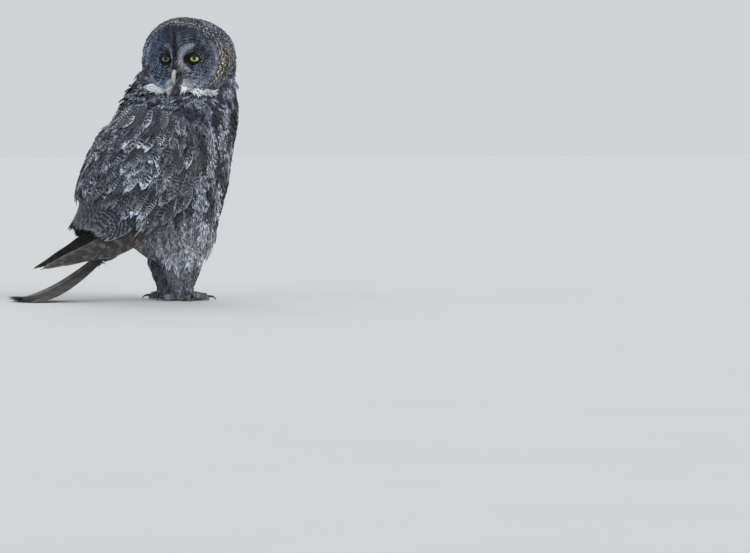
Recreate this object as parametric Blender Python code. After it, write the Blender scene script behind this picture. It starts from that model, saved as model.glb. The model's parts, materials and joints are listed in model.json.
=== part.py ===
"""Great grey owl, life size, standing upright with the head turned back over its right shoulder.

Metres, +Z up. The body faces -Y, so +X is the owl's left side. The feet and the end of the tail rest on z = 0.
"""

import math

import bmesh
import bpy
import numpy as np
from mathutils import Matrix, Vector

# Driving sizes of the bird, in metres
GAP = 0.0004  # between two nodes that touch
FLATNESS = math.radians(4.0)  # faces that meet flatter than this are merged after a union
FLATNESS_CUT = math.radians(0.1)  # and after a cut, where the gap must keep its width
SHARPEST = 3.0  # a sharp corner moves at most this many times as far as its faces
TRUNK_SIDES = 30
HEAD_SIDES = 30

# Trunk and neck, one loft of level slices: height, centre y, then the reach to front, back, left and right
TRUNK = [
    (0.076, -0.030, 0.012, 0.012, 0.012, 0.012),
    (0.081, -0.031, 0.042, 0.040, 0.042, 0.042),
    (0.094, -0.029, 0.062, 0.060, 0.062, 0.062),
    (0.118, -0.020, 0.084, 0.084, 0.080, 0.080),
    (0.152, -0.005, 0.105, 0.104, 0.091, 0.091),
    (0.185, -0.002, 0.118, 0.117, 0.097, 0.097),
    (0.222, -0.003, 0.127, 0.125, 0.100, 0.100),
    (0.262, -0.008, 0.128, 0.126, 0.101, 0.101),
    (0.300, -0.017, 0.126, 0.124, 0.099, 0.098),
    (0.335, -0.028, 0.121, 0.118, 0.096, 0.088),
    (0.365, -0.038, 0.113, 0.112, 0.092, 0.068),
    (0.392, -0.045, 0.106, 0.107, 0.088, 0.054),
    (0.418, -0.050, 0.099, 0.103, 0.084, 0.046),
    (0.440, -0.054, 0.088, 0.096, 0.078, 0.040),
]
TRUNK_BUNCHING = 1.25  # above 1 the slices crowd towards the bottom, where the belly rounds in
NECK_BASE = 0.352
NECK_TOP = 0.440

# Head, in its own frame: the face looks along -Y from the centre of the skull
HEAD_CENTRE = Vector((0.0, -0.0555, 0.456))
HEAD_TURN = math.radians(-140)  # to the owl's right, from straight ahead
HEAD_ROUNDNESS = 2.15  # exponent of the head's outline seen from the front
# Distance behind the skull's centre, half width, height above and depth below the centre
SKULL = [
    (0.0880, 0.016, 0.016, 0.016),
    (0.0810, 0.042, 0.040, 0.040),
    (0.0650, 0.066, 0.060, 0.058),
    (0.0420, 0.083, 0.073, 0.068),
    (0.0150, 0.091, 0.0795, 0.074),
    (-0.0050, 0.092, 0.0800, 0.076),
]
CHEEK_FULLNESS = 1.045  # how far the slice between skull and disc swells beyond halfway
# Room in front of the face that the neck keeps clear of, widening from the disc's rim: distance in front of the
# skull's centre, half width, height above and depth below it
FACE_CLEARANCE = [
    (0.012, 0.0800, 0.064, 0.0640),
    (0.030, 0.0900, 0.070, 0.0665),
    (0.040, 0.1600, 0.100, 0.0720),
    (0.085, 0.2000, 0.120, 0.1120),
    (0.200, 0.3000, 0.150, 0.2300),
]
DISC_HALF_WIDTH = 0.0830
DISC_HALF_HEIGHT = 0.0655
DISC_FRONT = 0.0320  # how far the face stands in front of the skull's centre, without its ridge
DISC_SWEEP = 0.0110  # how far the sides of the face fall back
DISC_DEPTH = 0.0040  # how far the dishes sink
EYE_MOUND = 0.0010  # rise of the dish round each eye
FACE_RINGS = 8
RIDGE_HEIGHT = 0.0190  # ridge down the middle of the face, between the two dishes
RIDGE_WIDTH = 0.0130
RIDGE_SPREAD = 0.0090  # how much wider it is at the top of the forehead
RIDGE_LOW = -0.024  # the ridge sinks here, where the bill stands out of it
RIDGE_LOW_SHARE = 0.62

EYE_RADIUS = 0.0120
EYE_OUT = 0.0312  # each eye's distance from the middle of the face
EYE_UP = 0.0020
EYE_FORWARD = 0.0205
LID_RADIUS = 0.0098
LID_THICKNESS = 0.0021

# Ruff: locks round the disc's rim. Each row is (share of the rim's radius, distance in front of the rim)
RUFF_COUNT = 15
RUFF_WIDTH = 0.026
RUFF_PATH = [(0.93, -0.0030), (1.00, 0.0030), (1.07, -0.0030), (1.11, -0.0110)]
# White throat locks under the disc, on each side of the chin: first and last angle from straight down, in degrees
THROAT_COUNT = 4
THROAT_ANGLES = (8, 52)
THROAT_WIDTH = 0.017
THROAT_PATH = [(0.92, -0.0030), (1.08, 0.0090), (1.21, 0.0190), (1.30, 0.0240)]
THROAT_TURN = 1.45  # above 1 the outer locks lie back to the neck sooner

BILL_SIDES = 10
# Forward, up, half width and half depth of each slice of the bill, from root to tip
BILL_UPPER = [
    (0.0290, -0.0150, 0.0040, 0.0040),
    (0.0400, -0.0185, 0.0046, 0.0048),
    (0.0462, -0.0245, 0.0046, 0.0050),
    (0.0490, -0.0320, 0.0041, 0.0046),
    (0.0492, -0.0390, 0.0031, 0.0036),
    (0.0475, -0.0445, 0.0019, 0.0022),
    (0.0450, -0.0488, 0.0006, 0.0008),
]
BILL_LOWER = [
    (0.0270, -0.0345, 0.0034, 0.0026),
    (0.0370, -0.0372, 0.0038, 0.0029),
    (0.0415, -0.0404, 0.0031, 0.0025),
    (0.0433, -0.0440, 0.0017, 0.0014),
]
NOSTRIL_OUT = 0.0046
NOSTRIL_FORWARD = 0.0440
NOSTRIL_UP = -0.0225
NOSTRIL_RADIUS = 0.0013

# Wing surface, eight stations from shoulder to tip: y and z of its axis, then the reach to the side and to the back
WING_AXIS = [
    (-0.016, 0.360, 0.088, 0.090),
    (-0.002, 0.2925, 0.113, 0.112),
    (0.024, 0.231, 0.119, 0.121),
    (0.053, 0.176, 0.113, 0.116),
    (0.089, 0.1245, 0.096, 0.096),
    (0.145, 0.0880, 0.074, 0.062),
    (0.198, 0.0680, 0.050, 0.034),
    (0.238, 0.0580, 0.030, 0.014),
]
VANE_THICKNESS = 0.0010
# Angle round the wing's axis of its front edge and of its back edge, at each span
WING_FRONT_EDGE = [-26, -31, -31, -24, -14, -8, -4, 0]
WING_BACK_EDGE = [79, 79, 79, 79, 76, 66, 55, 40]
WING_CORE_SPANS = (0.30, 4.10)
WING_CORE_ROUND = 0.006  # how far the core's rim rounds in
WING_CORE_DEPTH = [(0.3, 0.030), (1.0, 0.036), (2.0, 0.042), (3.0, 0.042), (3.6, 0.020), (4.1, 0.010)]
WING_UNEVEN = 0.07  # spans by which neighbouring tips differ
VANE_ROLL = -0.085
VANE_SAG = 0.07
VANE_RISE = 0.6  # below 1 a vane leaves its core quickly and then lies level over the next tier
COVERT_OUTLINE = [(0.0, 0.40), (0.42, 1.0), (0.82, 0.90), (1.0, 0.34)]
FLIGHT_OUTLINE = [(0.0, 0.50), (0.4, 0.95), (0.78, 1.0), (1.0, 0.34)]
FLIGHT_OUTLINE_LONG = [(0.0, 0.55), (0.35, 0.9), (0.65, 1.0), (0.90, 0.88), (1.0, 0.34)]
# Each tier from the shoulder down: count, roots and tips as (span, angle) at front and back, width, lift at root
# and tip, outline, and whether it shows its shafts
WING_TIERS = [
    (4, ((0.50, -14), (0.45, 60)), ((1.50, -18), (1.45, 62)), 0.052, (-0.006, 0.0065), COVERT_OUTLINE, False),
    (5, ((1.05, -20), (1.00, 62)), ((2.15, -22), (2.15, 62)), 0.046, (-0.006, 0.0065), COVERT_OUTLINE, False),
    (5, ((1.65, -21), (1.65, 64)), ((2.80, -20), (2.85, 62)), 0.046, (-0.006, 0.0060), COVERT_OUTLINE, False),
    (6, ((2.25, -19), (2.30, 64)), ((3.40, -13), (3.60, 62)), 0.038, (-0.006, 0.0050), COVERT_OUTLINE, False),
    (7, ((2.80, -4), (3.00, 64)), ((5.05, 10), (4.75, 62)), 0.037, (-0.006, 0.0030), FLIGHT_OUTLINE, False),
    (6, ((3.00, -14), (3.10, 4)), ((5.30, -4), (6.90, 28)), 0.026, (-0.008, -0.0035), FLIGHT_OUTLINE_LONG, False),
]
WING_CORE_LIFT = -0.003

# Mantle and scapulars, on the wing's surface: angle 90 is the middle of the back
MANTLE_SPANS = (0.25, 3.70)
MANTLE_EDGE = 80.5
MANTLE_LIFT = 0.003
SCAPULAR_ROWS = [(0.45, 1.75), (1.30, 2.75), (2.35, 3.85)]
# Angle of root and tip, lift of the tip and roll; the same on the other side but for the middle one
SCAPULARS = [(90, 90, 0.0115, 0.0), (86, 77, 0.0090, -0.05), (83, 66, 0.0080, -0.05)]
SCAPULAR_WIDTH = 0.040

TAIL_FEATHERS = 12
TAIL_LENGTH = 0.245
TAIL_ROOT = (0.072, 0.127)  # y and z where the quills start
TAIL_FAN = math.radians(12)  # turn of the outermost feather from straight back
TAIL_FEATHER_WIDTH = 0.036
TAIL_RUN_SHARE = 0.86  # level run of the tail as a share of its length along the feathers
TAIL_LANDING = 0.92  # share of the run at which the tail meets the floor
TAIL_STACK = 0.0017  # each feather lies this far over the next one out

LEG = [(0.112, 0.038), (0.088, 0.037), (0.066, 0.034), (0.046, 0.0285), (0.0304, 0.0215)]
LEG_SIDES = 12
FOOT_PAD = [(0.030, 0.0205), (0.018, 0.0200), (-0.004, 0.0205)]
# Turn outwards from straight ahead in degrees, and length from the middle of the pad
TOES = [(-16, 0.047), (17, 0.050), (82, 0.042), (172, 0.036)]
TOE_NAMES = ["inner", "middle", "outer", "hind"]
TOE_OUTLINE = [(0.0, 1.10), (0.45, 1.0), (0.85, 0.90), (1.0, 0.58)]
TOE_SIDES = 8
FOOT_APART = 0.041  # each foot's distance from the middle
FOOT_Y = -0.030
TOE_RADIUS = 0.0098
TALON_LENGTH = 0.022
TALON_ROOT_HEIGHT = 0.0072
TALON_ARCH = 0.0035
TALON_DROP = 0.0098
TALON_RADIUS = 0.0032

# Loose locks that hang from the belly: count, first and last angle, height of the roots, length, width, and how far
# the tips swing out. The angle turns from the owl's left to its back, so -90 is the breast's middle line.
BELLY_LOCKS = [
    (8, -148, -32, 0.168, 0.070, 0.044, 0.004),
    (10, -172, -8, 0.128, 0.064, 0.043, 0.004),
]
# Locks on each trouser leg, all round: count, height of the roots, length, width and swing
LEG_LOCKS = [(6, 0.094, 0.050, 0.038, 0.005), (6, 0.060, 0.038, 0.030, 0.004)]
LOCK_OUTLINE = [(0.0, 0.62), (0.35, 1.0), (0.75, 0.72), (1.0, 0.16)]
LOCK_THICKNESS = 0.0022
LOCK_DEPTH = 0.005  # how deep a lock's root sits
LOCK_UNEVEN = 0.22  # share by which neighbouring locks differ in length


def material(name, colour, roughness=0.8):
    """A plain finish: base colour and roughness only."""
    made = bpy.data.materials.new(name)
    made.use_nodes = True
    shader = made.node_tree.nodes["Principled BSDF"]
    shader.inputs["Base Color"].default_value = (*colour, 1.0)
    shader.inputs["Roughness"].default_value = roughness
    return made


def through(stations, at):
    """The columns of a table at a place between its rows, by a smooth curve through them."""
    table = np.array(stations, float)
    place, columns = table[:, 0], table[:, 1:]
    order = np.argsort(place)
    place, columns = place[order], columns[order]
    at = min(max(at, place[0]), place[-1])
    slopes = np.gradient(columns, place, axis=0)
    k = min(int(np.searchsorted(place, at, side="right")) - 1, len(place) - 2)
    span = place[k + 1] - place[k]
    s = (at - place[k]) / span
    return (
        columns[k] * (1 + 2 * s) * (1 - s) ** 2
        + slopes[k] * span * s * (1 - s) ** 2
        + columns[k + 1] * s * s * (3 - 2 * s)
        + slopes[k + 1] * span * s * s * (s - 1)
    )


def mesh_object(name, points, faces, finish):
    """An object from points and faces, all its faces turned outwards and split into triangles."""
    mesh = bpy.data.meshes.new(name)
    mesh.from_pydata([tuple(p) for p in points], [], faces)
    body = bmesh.new()
    body.from_mesh(mesh)
    bmesh.ops.recalc_face_normals(body, faces=body.faces)
    bmesh.ops.triangulate(body, faces=body.faces)
    body.to_mesh(mesh)
    body.free()
    mesh.materials.append(finish)
    made = bpy.data.objects.new(name, mesh)
    bpy.context.scene.collection.objects.link(made)
    return made


def loft(name, rings, finish):
    """A closed body through rings of equal counts, with a fan at each end."""
    sides = len(rings[0])
    points = [p for ring in rings for p in ring]
    faces = []
    for k in range(len(rings) - 1):
        for i in range(sides):
            j = (i + 1) % sides
            faces.append((k * sides + i, k * sides + j, (k + 1) * sides + j, (k + 1) * sides + i))
    for k in (0, len(rings) - 1):
        centre = sum((Vector(p) for p in rings[k]), Vector()) / sides
        points.append(centre)
        for i in range(sides):
            faces.append((k * sides + i, k * sides + (i + 1) % sides, len(points) - 1))
    return mesh_object(name, points, faces, finish)


def applied(target):
    """Bakes the modifiers of an object into its mesh."""
    bpy.context.view_layer.update()
    shown = target.evaluated_get(bpy.context.evaluated_depsgraph_get())
    old = target.data
    target.data = bpy.data.meshes.new_from_object(shown)
    target.modifiers.clear()
    bpy.data.meshes.remove(old)


def keep_largest(target, flatness):
    """Leaves only the largest closed surface of a mesh, with no coincident points, flat faces merged."""
    body = bmesh.new()
    body.from_mesh(target.data)
    bmesh.ops.remove_doubles(body, verts=body.verts, dist=2e-6)
    bmesh.ops.dissolve_degenerate(body, edges=body.edges, dist=2e-6)
    bmesh.ops.dissolve_limit(body, angle_limit=flatness, verts=body.verts, edges=body.edges)
    bmesh.ops.triangulate(body, faces=body.faces)
    left = set(body.faces)
    groups = []
    while left:
        heap = [left.pop()]
        group = list(heap)
        while heap:
            for edge in heap.pop().edges:
                for face in edge.link_faces:
                    if face in left:
                        left.remove(face)
                        heap.append(face)
                        group.append(face)
        groups.append(group)
    groups.sort(key=lambda group: -sum(f.calc_area() for f in group))
    for group in groups[1:]:
        bmesh.ops.delete(body, geom=group, context="FACES")
    loose = [v for v in body.verts if not v.link_faces]
    bmesh.ops.delete(body, geom=loose, context="VERTS")
    body.to_mesh(target.data)
    body.free()


def fuse(target, pieces, solver="MANIFOLD"):
    """Joins closed pieces to a closed target and removes them."""
    group = bpy.data.collections.new(target.name + "_pieces")
    bpy.context.scene.collection.children.link(group)
    for piece in pieces:
        bpy.context.scene.collection.objects.unlink(piece)
        group.objects.link(piece)
    join = target.modifiers.new("join", "BOOLEAN")
    join.operation = "UNION"
    join.operand_type = "COLLECTION"
    join.collection = group
    join.solver = solver
    applied(target)
    for piece in list(group.objects):
        bpy.data.objects.remove(piece)
    bpy.data.collections.remove(group)
    keep_largest(target, FLATNESS)
    return target


def carve(target, cutter, solver="MANIFOLD"):
    """Takes a closed cutter out of a target and removes the cutter."""
    cut = target.modifiers.new("cut", "BOOLEAN")
    cut.operation = "DIFFERENCE"
    cut.object = cutter
    cut.solver = solver
    applied(target)
    bpy.data.objects.remove(cutter)
    keep_largest(target, FLATNESS_CUT)
    return target


def swollen(source, by=GAP):
    """A copy of a body with its surface moved outwards."""
    body = bmesh.new()
    body.from_mesh(source.data)
    body.normal_update()
    moved = [v.co + v.normal * (by * min(v.calc_shell_factor(), SHARPEST)) for v in body.verts]
    for vertex, place in zip(body.verts, moved):
        vertex.co = place
    mesh = bpy.data.meshes.new(source.name + "_swollen")
    body.to_mesh(mesh)
    body.free()
    made = bpy.data.objects.new(mesh.name, mesh)
    made.matrix_world = source.matrix_world.copy()
    bpy.context.scene.collection.objects.link(made)
    return made


def block(low, high):
    """A box used as a cutter."""
    corners = [(x, y, z) for x in (low[0], high[0]) for y in (low[1], high[1]) for z in (low[2], high[2])]
    faces = [(0, 1, 3, 2), (4, 6, 7, 5), (0, 4, 5, 1), (2, 3, 7, 6), (0, 2, 6, 4), (1, 5, 7, 3)]
    return mesh_object("cutter", corners, faces, PLAIN)


def mirrored(source, name):
    """The same body on the other side of the middle plane."""
    mesh = source.data.copy()
    mesh.transform(Matrix.Diagonal((-1, 1, 1, 1)))
    mesh.flip_normals()
    made = bpy.data.objects.new(name, mesh)
    bpy.context.scene.collection.objects.link(made)
    return made


def blade(name, spine, normals, widths, finish, thickness=VANE_THICKNESS, sag=0.0, roll=0.0, ridged=True):
    """A feather vane or lock: a thin plate along a spine, with a shaft line down its middle if it is ridged.

    sag drops the edges of a ridged one to follow a curved body, as a share of the half width. roll lifts one edge
    over the neighbour and lowers the other, in metres per metre of width.
    """
    steps = (-1, 0, 1) if ridged else (-1, 1)
    row = 2 * len(steps)
    points = []
    count = len(spine)
    for k in range(count):
        ahead = spine[min(k + 1, count - 1)] - spine[max(k - 1, 0)]
        up = normals[k].normalized()
        side = ahead.cross(up).normalized()
        half = widths[k] / 2
        for across in steps:
            drop = up * (half * roll * across - half * sag * abs(across))
            middle = spine[k] + side * (half * across) + drop
            points.append(middle + up * (thickness / 2))
            points.append(middle - up * (thickness / 2))
    faces = []
    for k in range(count - 1):
        a, b = row * k, row * (k + 1)
        for top in range(0, row - 2, 2):
            faces.append((a + top, a + top + 2, b + top + 2))
            faces.append((a + top, b + top + 2, b + top))
            faces.append((a + top + 1, b + top + 3, a + top + 3))
            faces.append((a + top + 1, b + top + 1, b + top + 3))
        faces.append((a, b, b + 1, a + 1))
        faces.append((a + row - 2, a + row - 1, b + row - 1, b + row - 2))
    for a in (0, row * (count - 1)):
        for top in range(0, row - 2, 2):
            faces.append((a + top, a + top + 1, a + top + 3, a + top + 2))
    return mesh_object(name, points, faces, finish)


# Trunk and neck


def trunk_ring(z, sides=TRUNK_SIDES):
    """One level slice of the trunk or neck."""
    y, front, back, left, right = through(TRUNK, z)
    ring = []
    for i in range(sides):
        angle = 2 * math.pi * i / sides
        c, s = math.cos(angle), math.sin(angle)
        ring.append(Vector((c * (left if c > 0 else right), y + s * (back if s > 0 else front), z)))
    return ring


def trunk_point(angle, z, lift=0.0):
    """A point on the trunk and the way out of it there. The angle turns from the owl's left to its back."""

    def at(turn, level):
        y, front, back, left, right = through(TRUNK, level)
        c, s = math.cos(turn), math.sin(turn)
        return Vector((c * (left if c > 0 else right), y + s * (back if s > 0 else front), level))

    here = at(angle, z)
    round_it = at(angle + 0.02, z) - at(angle - 0.02, z)
    upwards = at(angle, z + 0.002) - at(angle, z - 0.002)
    out = round_it.cross(upwards).normalized()
    return here + out * lift, out


def lock(root, out, length, width, swing):
    """A hanging lock: down from its root just under the coat, swinging outwards at its tip."""
    spine, normals, widths = [], [], []
    level = Vector((out.x, out.y, 0)).normalized()
    for share, full in LOCK_OUTLINE:
        away = -LOCK_DEPTH + (LOCK_DEPTH + LOCK_THICKNESS) * min(1, share * 2.2) + swing * share**2
        spine.append(root + level * away - Vector((0, 0, length * share)))
        normals.append(level)
        widths.append(width * full)
    return blade("lock", spine, normals, widths, GREY_COAT, LOCK_THICKNESS, ridged=False)


def belly_locks():
    """Rows of loose locks round the belly, over the legs."""
    made = []
    for row, (count, first, last, height, length, width, swing) in enumerate(BELLY_LOCKS):
        for k in range(count):
            angle = math.radians(first + (last - first) * k / (count - 1))
            uneven = 1 + LOCK_UNEVEN * math.sin(4.3 * k + 1.9 * row)
            root, out = trunk_point(angle, height)
            made.append(lock(root, out, length * uneven, width, swing))
    return made


def make_trunk(name, base, top, count):
    """The stretch of trunk or neck between two heights, closed."""
    levels = [base + (top - base) * (k / count) ** TRUNK_BUNCHING for k in range(count + 1)]
    return loft(name, [trunk_ring(z) for z in levels], GREY_COAT)


# Head


def head_matrix():
    return Matrix.Translation(HEAD_CENTRE) @ Matrix.Rotation(HEAD_TURN, 4, "Z")


def skull_ring(behind, half_width, above, below):
    """One slice of the head across the line of sight."""
    ring = []
    for i in range(HEAD_SIDES):
        angle = 2 * math.pi * i / HEAD_SIDES
        c, s = math.cos(angle), math.sin(angle)
        power = 2 / HEAD_ROUNDNESS
        x = half_width * math.copysign(abs(c) ** power, c)
        z = (above if s > 0 else below) * math.copysign(abs(s) ** power, s)
        ring.append(Vector((x, behind, z)))
    return ring


def face_front(x, z):
    """How far the face stands in front of the skull's centre, at a place on it seen from the front."""
    out = min(1.0, math.hypot(x / DISC_HALF_WIDTH, z / DISC_HALF_HEIGHT))
    base = DISC_FRONT - DISC_SWEEP * (x / DISC_HALF_WIDTH) ** 2 - DISC_DEPTH * (1 - out**2.5)
    width = RIDGE_WIDTH + RIDGE_SPREAD * max(0.0, z / DISC_HALF_HEIGHT)
    low = 1 / (1 + math.exp((z - RIDGE_LOW) / 0.004))
    ridge = RIDGE_HEIGHT * (1 - (1 - RIDGE_LOW_SHARE) * low) * math.exp(-((x / width) ** 2))
    eye_distance = math.hypot(abs(x) - EYE_OUT, z - EYE_UP)
    return base + ridge + EYE_MOUND * math.exp(-((eye_distance / 0.014) ** 2))


def face_ring(share):
    """One ring of the facial disc, from its rim at share 1 to its middle at share 0."""
    ring = []
    for point in skull_ring(0, DISC_HALF_WIDTH * share, DISC_HALF_HEIGHT * share, DISC_HALF_HEIGHT * share):
        ring.append(Vector((point.x, -face_front(point.x, point.z), point.z)))
    return ring


def cheek_ring():
    """The slice halfway between the skull and the disc's rim, a little fuller than both."""
    ring = []
    for a, b in zip(skull_ring(*SKULL[-1]), face_ring(1.0)):
        middle = (a + b) / 2
        ring.append(Vector((middle.x * CHEEK_FULLNESS, middle.y, middle.z * CHEEK_FULLNESS)))
    return ring


def make_head():
    """The head with its facial disc and lids, and the sockets cut for the eyes."""
    rings = [skull_ring(*row) for row in SKULL] + [cheek_ring()]
    rings += [face_ring(1 - 0.97 * k / FACE_RINGS) for k in range(FACE_RINGS + 1)]
    head = loft("head", rings, GREY_COAT)
    lids = [make_lid(side) for side in (-1, 1)]
    fuse(head, lids)
    for side in (-1, 1):
        carve(head, ball("socket", eye_centre(side), EYE_RADIUS + GAP, PLAIN))
    return head


def rim_lock(angle, path, width, lift, flare=1.0):
    """A lock that starts inside the disc's rim at an angle from straight down and lies outwards from it. flare is
    the share of the path's forward reach that it takes."""
    spine, normals, widths = [], [], []
    out = Vector((math.sin(angle), 0, -math.cos(angle)))
    rim = Vector((DISC_HALF_WIDTH * out.x, 0, DISC_HALF_HEIGHT * out.z))
    front = face_front(rim.x, rim.z)
    for (share, forward), (_, full) in zip(path, LOCK_OUTLINE):
        reach = front + path[0][1] + (forward - path[0][1]) * flare
        spine.append(rim * share + Vector((0, -reach, 0)))
        widths.append(width * full)
    for k in range(len(spine)):
        ahead = spine[min(k + 1, len(spine) - 1)] - spine[max(k - 1, 0)]
        round_it = Vector((out.z, 0, -out.x))
        normal = ahead.cross(round_it).normalized()
        normals.append(normal if normal.y < 0 else -normal)
        spine[k] = spine[k] + normals[k] * lift
    return blade("lock", spine, normals, widths, GREY_COAT, LOCK_THICKNESS * 0.8, roll=0.12, ridged=False)


def ruff_locks():
    """The ring of locks round the disc, and the throat's white locks on each side of the chin."""
    made = []
    for k in range(RUFF_COUNT):
        angle = math.pi + (k - (RUFF_COUNT - 1) / 2) * math.radians(18.6)
        made.append(rim_lock(angle, RUFF_PATH, RUFF_WIDTH, 0.0))
    for k in range(THROAT_COUNT):
        share = k / (THROAT_COUNT - 1)
        angle = math.radians(THROAT_ANGLES[0] + (THROAT_ANGLES[1] - THROAT_ANGLES[0]) * share)
        for side in (-1, 1):
            flare = math.cos(angle * THROAT_TURN)
            made.append(rim_lock(side * angle, THROAT_PATH, THROAT_WIDTH, 0.0004 * k, flare))
    return made


def eye_centre(side):
    return Vector((side * EYE_OUT, -EYE_FORWARD, EYE_UP))


def ball(name, centre, radius, finish, rings=8, sides=16):
    """A globe whose poles look forward and back."""
    slices = []
    for k in range(1, rings):
        turn = math.pi * k / rings
        slices.append(
            [
                centre
                + radius
                * Vector(
                    (
                        math.sin(turn) * math.cos(2 * math.pi * i / sides),
                        -math.cos(turn),
                        math.sin(turn) * math.sin(2 * math.pi * i / sides),
                    )
                )
                for i in range(sides)
            ]
        )
    return loft(name, slices, finish)


def make_lid(side):
    """The thick rim of skin round one eye, wider than high."""
    centre = eye_centre(side) + Vector((0, -0.0052, 0))
    sides, around = 4, 12
    points, faces = [], []
    for i in range(around):
        turn = 2 * math.pi * i / around
        out = Vector((math.cos(turn), 0, math.sin(turn)))
        ring_centre = centre + Vector((LID_RADIUS * 1.02 * out.x, 0, LID_RADIUS * 0.90 * out.z))
        for j in range(sides):
            bend = 2 * math.pi * j / sides
            points.append(
                ring_centre
                + out * (LID_THICKNESS * math.cos(bend))
                + Vector((0, -1, 0)) * (LID_THICKNESS * 1.3 * math.sin(bend))
            )
    for i in range(around):
        for j in range(sides):
            a, b = i * sides + j, i * sides + (j + 1) % sides
            c, d = ((i + 1) % around) * sides + (j + 1) % sides, ((i + 1) % around) * sides + j
            faces.append((a, b, c, d))
    return mesh_object("lid", points, faces, GREY_COAT)


# Bill


def bill_rings(stations, sides=BILL_SIDES):
    """Slices across a curved beak, from rows of forward, up, half width and half depth in the head's frame."""
    middles = [Vector((0, -row[0], row[1])) for row in stations]
    rings = []
    for k, (_, _, half_width, half_depth) in enumerate(stations):
        along = middles[min(k + 1, len(middles) - 1)] - middles[max(k - 1, 0)]
        across = Vector((1, 0, 0))
        deep = along.cross(across).normalized()
        rings.append(
            [
                middles[k]
                + across * (half_width * math.cos(2 * math.pi * i / sides))
                + deep * (half_depth * math.sin(2 * math.pi * i / sides))
                for i in range(sides)
            ]
        )
    return rings


def make_bill():
    """The hooked upper half, with its nostrils, and the lower half under it."""
    upper = loft("bill_upper", bill_rings(BILL_UPPER), HORN)
    for side in (-1, 1):
        place = Vector((side * NOSTRIL_OUT, -NOSTRIL_FORWARD, NOSTRIL_UP))
        carve(upper, ball("nostril", place, NOSTRIL_RADIUS, PLAIN, 6, 8))
    lower = loft("bill_lower", bill_rings(BILL_LOWER), HORN)
    carve(lower, swollen(upper))
    return upper, lower


# Wings, made on the owl's right and mirrored


def wing_axis(span):
    """Centre of the wing's surface, its reach to the side and to the back, and the way to the back."""
    rows = [(k, *row) for k, row in enumerate(WING_AXIS)]
    y, z, side, back = through(rows, span)
    y2, z2, _, _ = through(rows, min(span + 0.05, len(rows) - 1))
    y1, z1, _, _ = through(rows, max(span - 0.05, 0))
    along = Vector((0, y2 - y1, z2 - z1)).normalized()
    return Vector((0, y, z)), side, back, Vector((0, -along.z, along.y))


def wing_surface(span, angle):
    centre, side, back, backwards = wing_axis(span)
    turn = math.radians(angle)
    return centre + Vector((-side * math.cos(turn), 0, 0)) + backwards * (back * math.sin(turn))


def wing_point(span, angle, lift=0.0):
    """A point over the folded wing and the way out of it there. The angle turns from the side to the back."""
    here = wing_surface(span, angle)
    last = len(WING_AXIS) - 1
    along = wing_surface(min(span + 0.05, last), angle) - wing_surface(max(span - 0.05, 0), angle)
    round_it = wing_surface(span, angle + 2) - wing_surface(span, angle - 2)
    out = round_it.cross(along).normalized()
    if out.dot(here - wing_axis(span)[0]) < 0:
        out = -out
    return here + out * lift, out


def wing_edges(span):
    """Angles of the wing's front and back edges at a place along it."""
    rows = [(k, a, b) for k, (a, b) in enumerate(zip(WING_FRONT_EDGE, WING_BACK_EDGE))]
    return through(rows, span)


def wing_shell(name, spans, edges, depth, outer, grid, finish):
    """A thick shell on the wing's surface. edges gives its two angles at a span, depth and outer the lift of its
    inner and outer face there, and grid its counts of steps along and round."""
    along, rounds = grid
    first, last = spans
    skins = []
    for inner in (False, True):
        for k in range(along + 1):
            span = first + (last - first) * k / along
            front, back = edges(span)
            for j in range(rounds + 1):
                share = j / rounds
                rim = min(share, 1 - share, k / along * 1.5, (1 - k / along) * 1.5)
                round_off = WING_CORE_ROUND * (1 - min(1.0, rim * 6)) ** 2
                lift = -depth(span) if inner else outer - round_off
                skins.append(wing_point(span, front + (back - front) * share, lift)[0])
    across = rounds + 1
    half = (along + 1) * across
    faces = []
    for k in range(along):
        for j in range(rounds):
            a = k * across + j
            faces.append((a, a + 1, a + across + 1, a + across))
            faces.append((half + a, half + a + across, half + a + across + 1, half + a + 1))
    edge = [j for j in range(rounds)]
    edge += [k * across + rounds for k in range(along)]
    edge += [along * across + rounds - j for j in range(rounds)]
    edge += [(along - k) * across for k in range(along)]
    for a, b in zip(edge, edge[1:] + edge[:1]):
        faces.append((a, b, half + b, half + a))
    return mesh_object(name, skins, faces, finish)


def wing_vane(root, tip, width, lifts, outline, roll, ridged):
    """One feather over the wing. root and tip are (span, angle); outline is rows of (share, width)."""
    spine, normals, widths = [], [], []
    for share, full in outline:
        span = root[0] + (tip[0] - root[0]) * share
        angle = root[1] + (tip[1] - root[1]) * share
        place, out = wing_point(span, angle, lifts[0] + (lifts[1] - lifts[0]) * share**VANE_RISE)
        spine.append(place)
        normals.append(out)
        widths.append(width * full)
    return blade("vane", spine, normals, widths, FLIGHT, sag=VANE_SAG, roll=roll, ridged=ridged)


def wing_tier(count, roots, tips, width, lifts, outline, ridged):
    """A row of overlapping vanes. roots and tips give (span, angle) of the row's front and back feather."""
    made = []
    for k in range(count):
        share = k / (count - 1)
        ends = []
        for (span_a, angle_a), (span_b, angle_b) in (roots, tips):
            ends.append([span_a + (span_b - span_a) * share, angle_a + (angle_b - angle_a) * share])
        ends[1][0] += WING_UNEVEN * math.sin(5.1 * k + 2.3 * count)
        made.append(wing_vane(ends[0], ends[1], width, lifts, outline, VANE_ROLL, ridged))
    return made


def make_wing():
    """One folded wing: its core, four tiers of coverts, the secondaries and the primaries."""
    wing = wing_shell(
        "wing_right",
        WING_CORE_SPANS,
        wing_edges,
        lambda span: through(WING_CORE_DEPTH, span)[0],
        WING_CORE_LIFT,
        (8, 8),
        FLIGHT,
    )
    vanes = []
    for tier in WING_TIERS:
        vanes += wing_tier(*tier)
    return fuse(wing, vanes)


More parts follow.
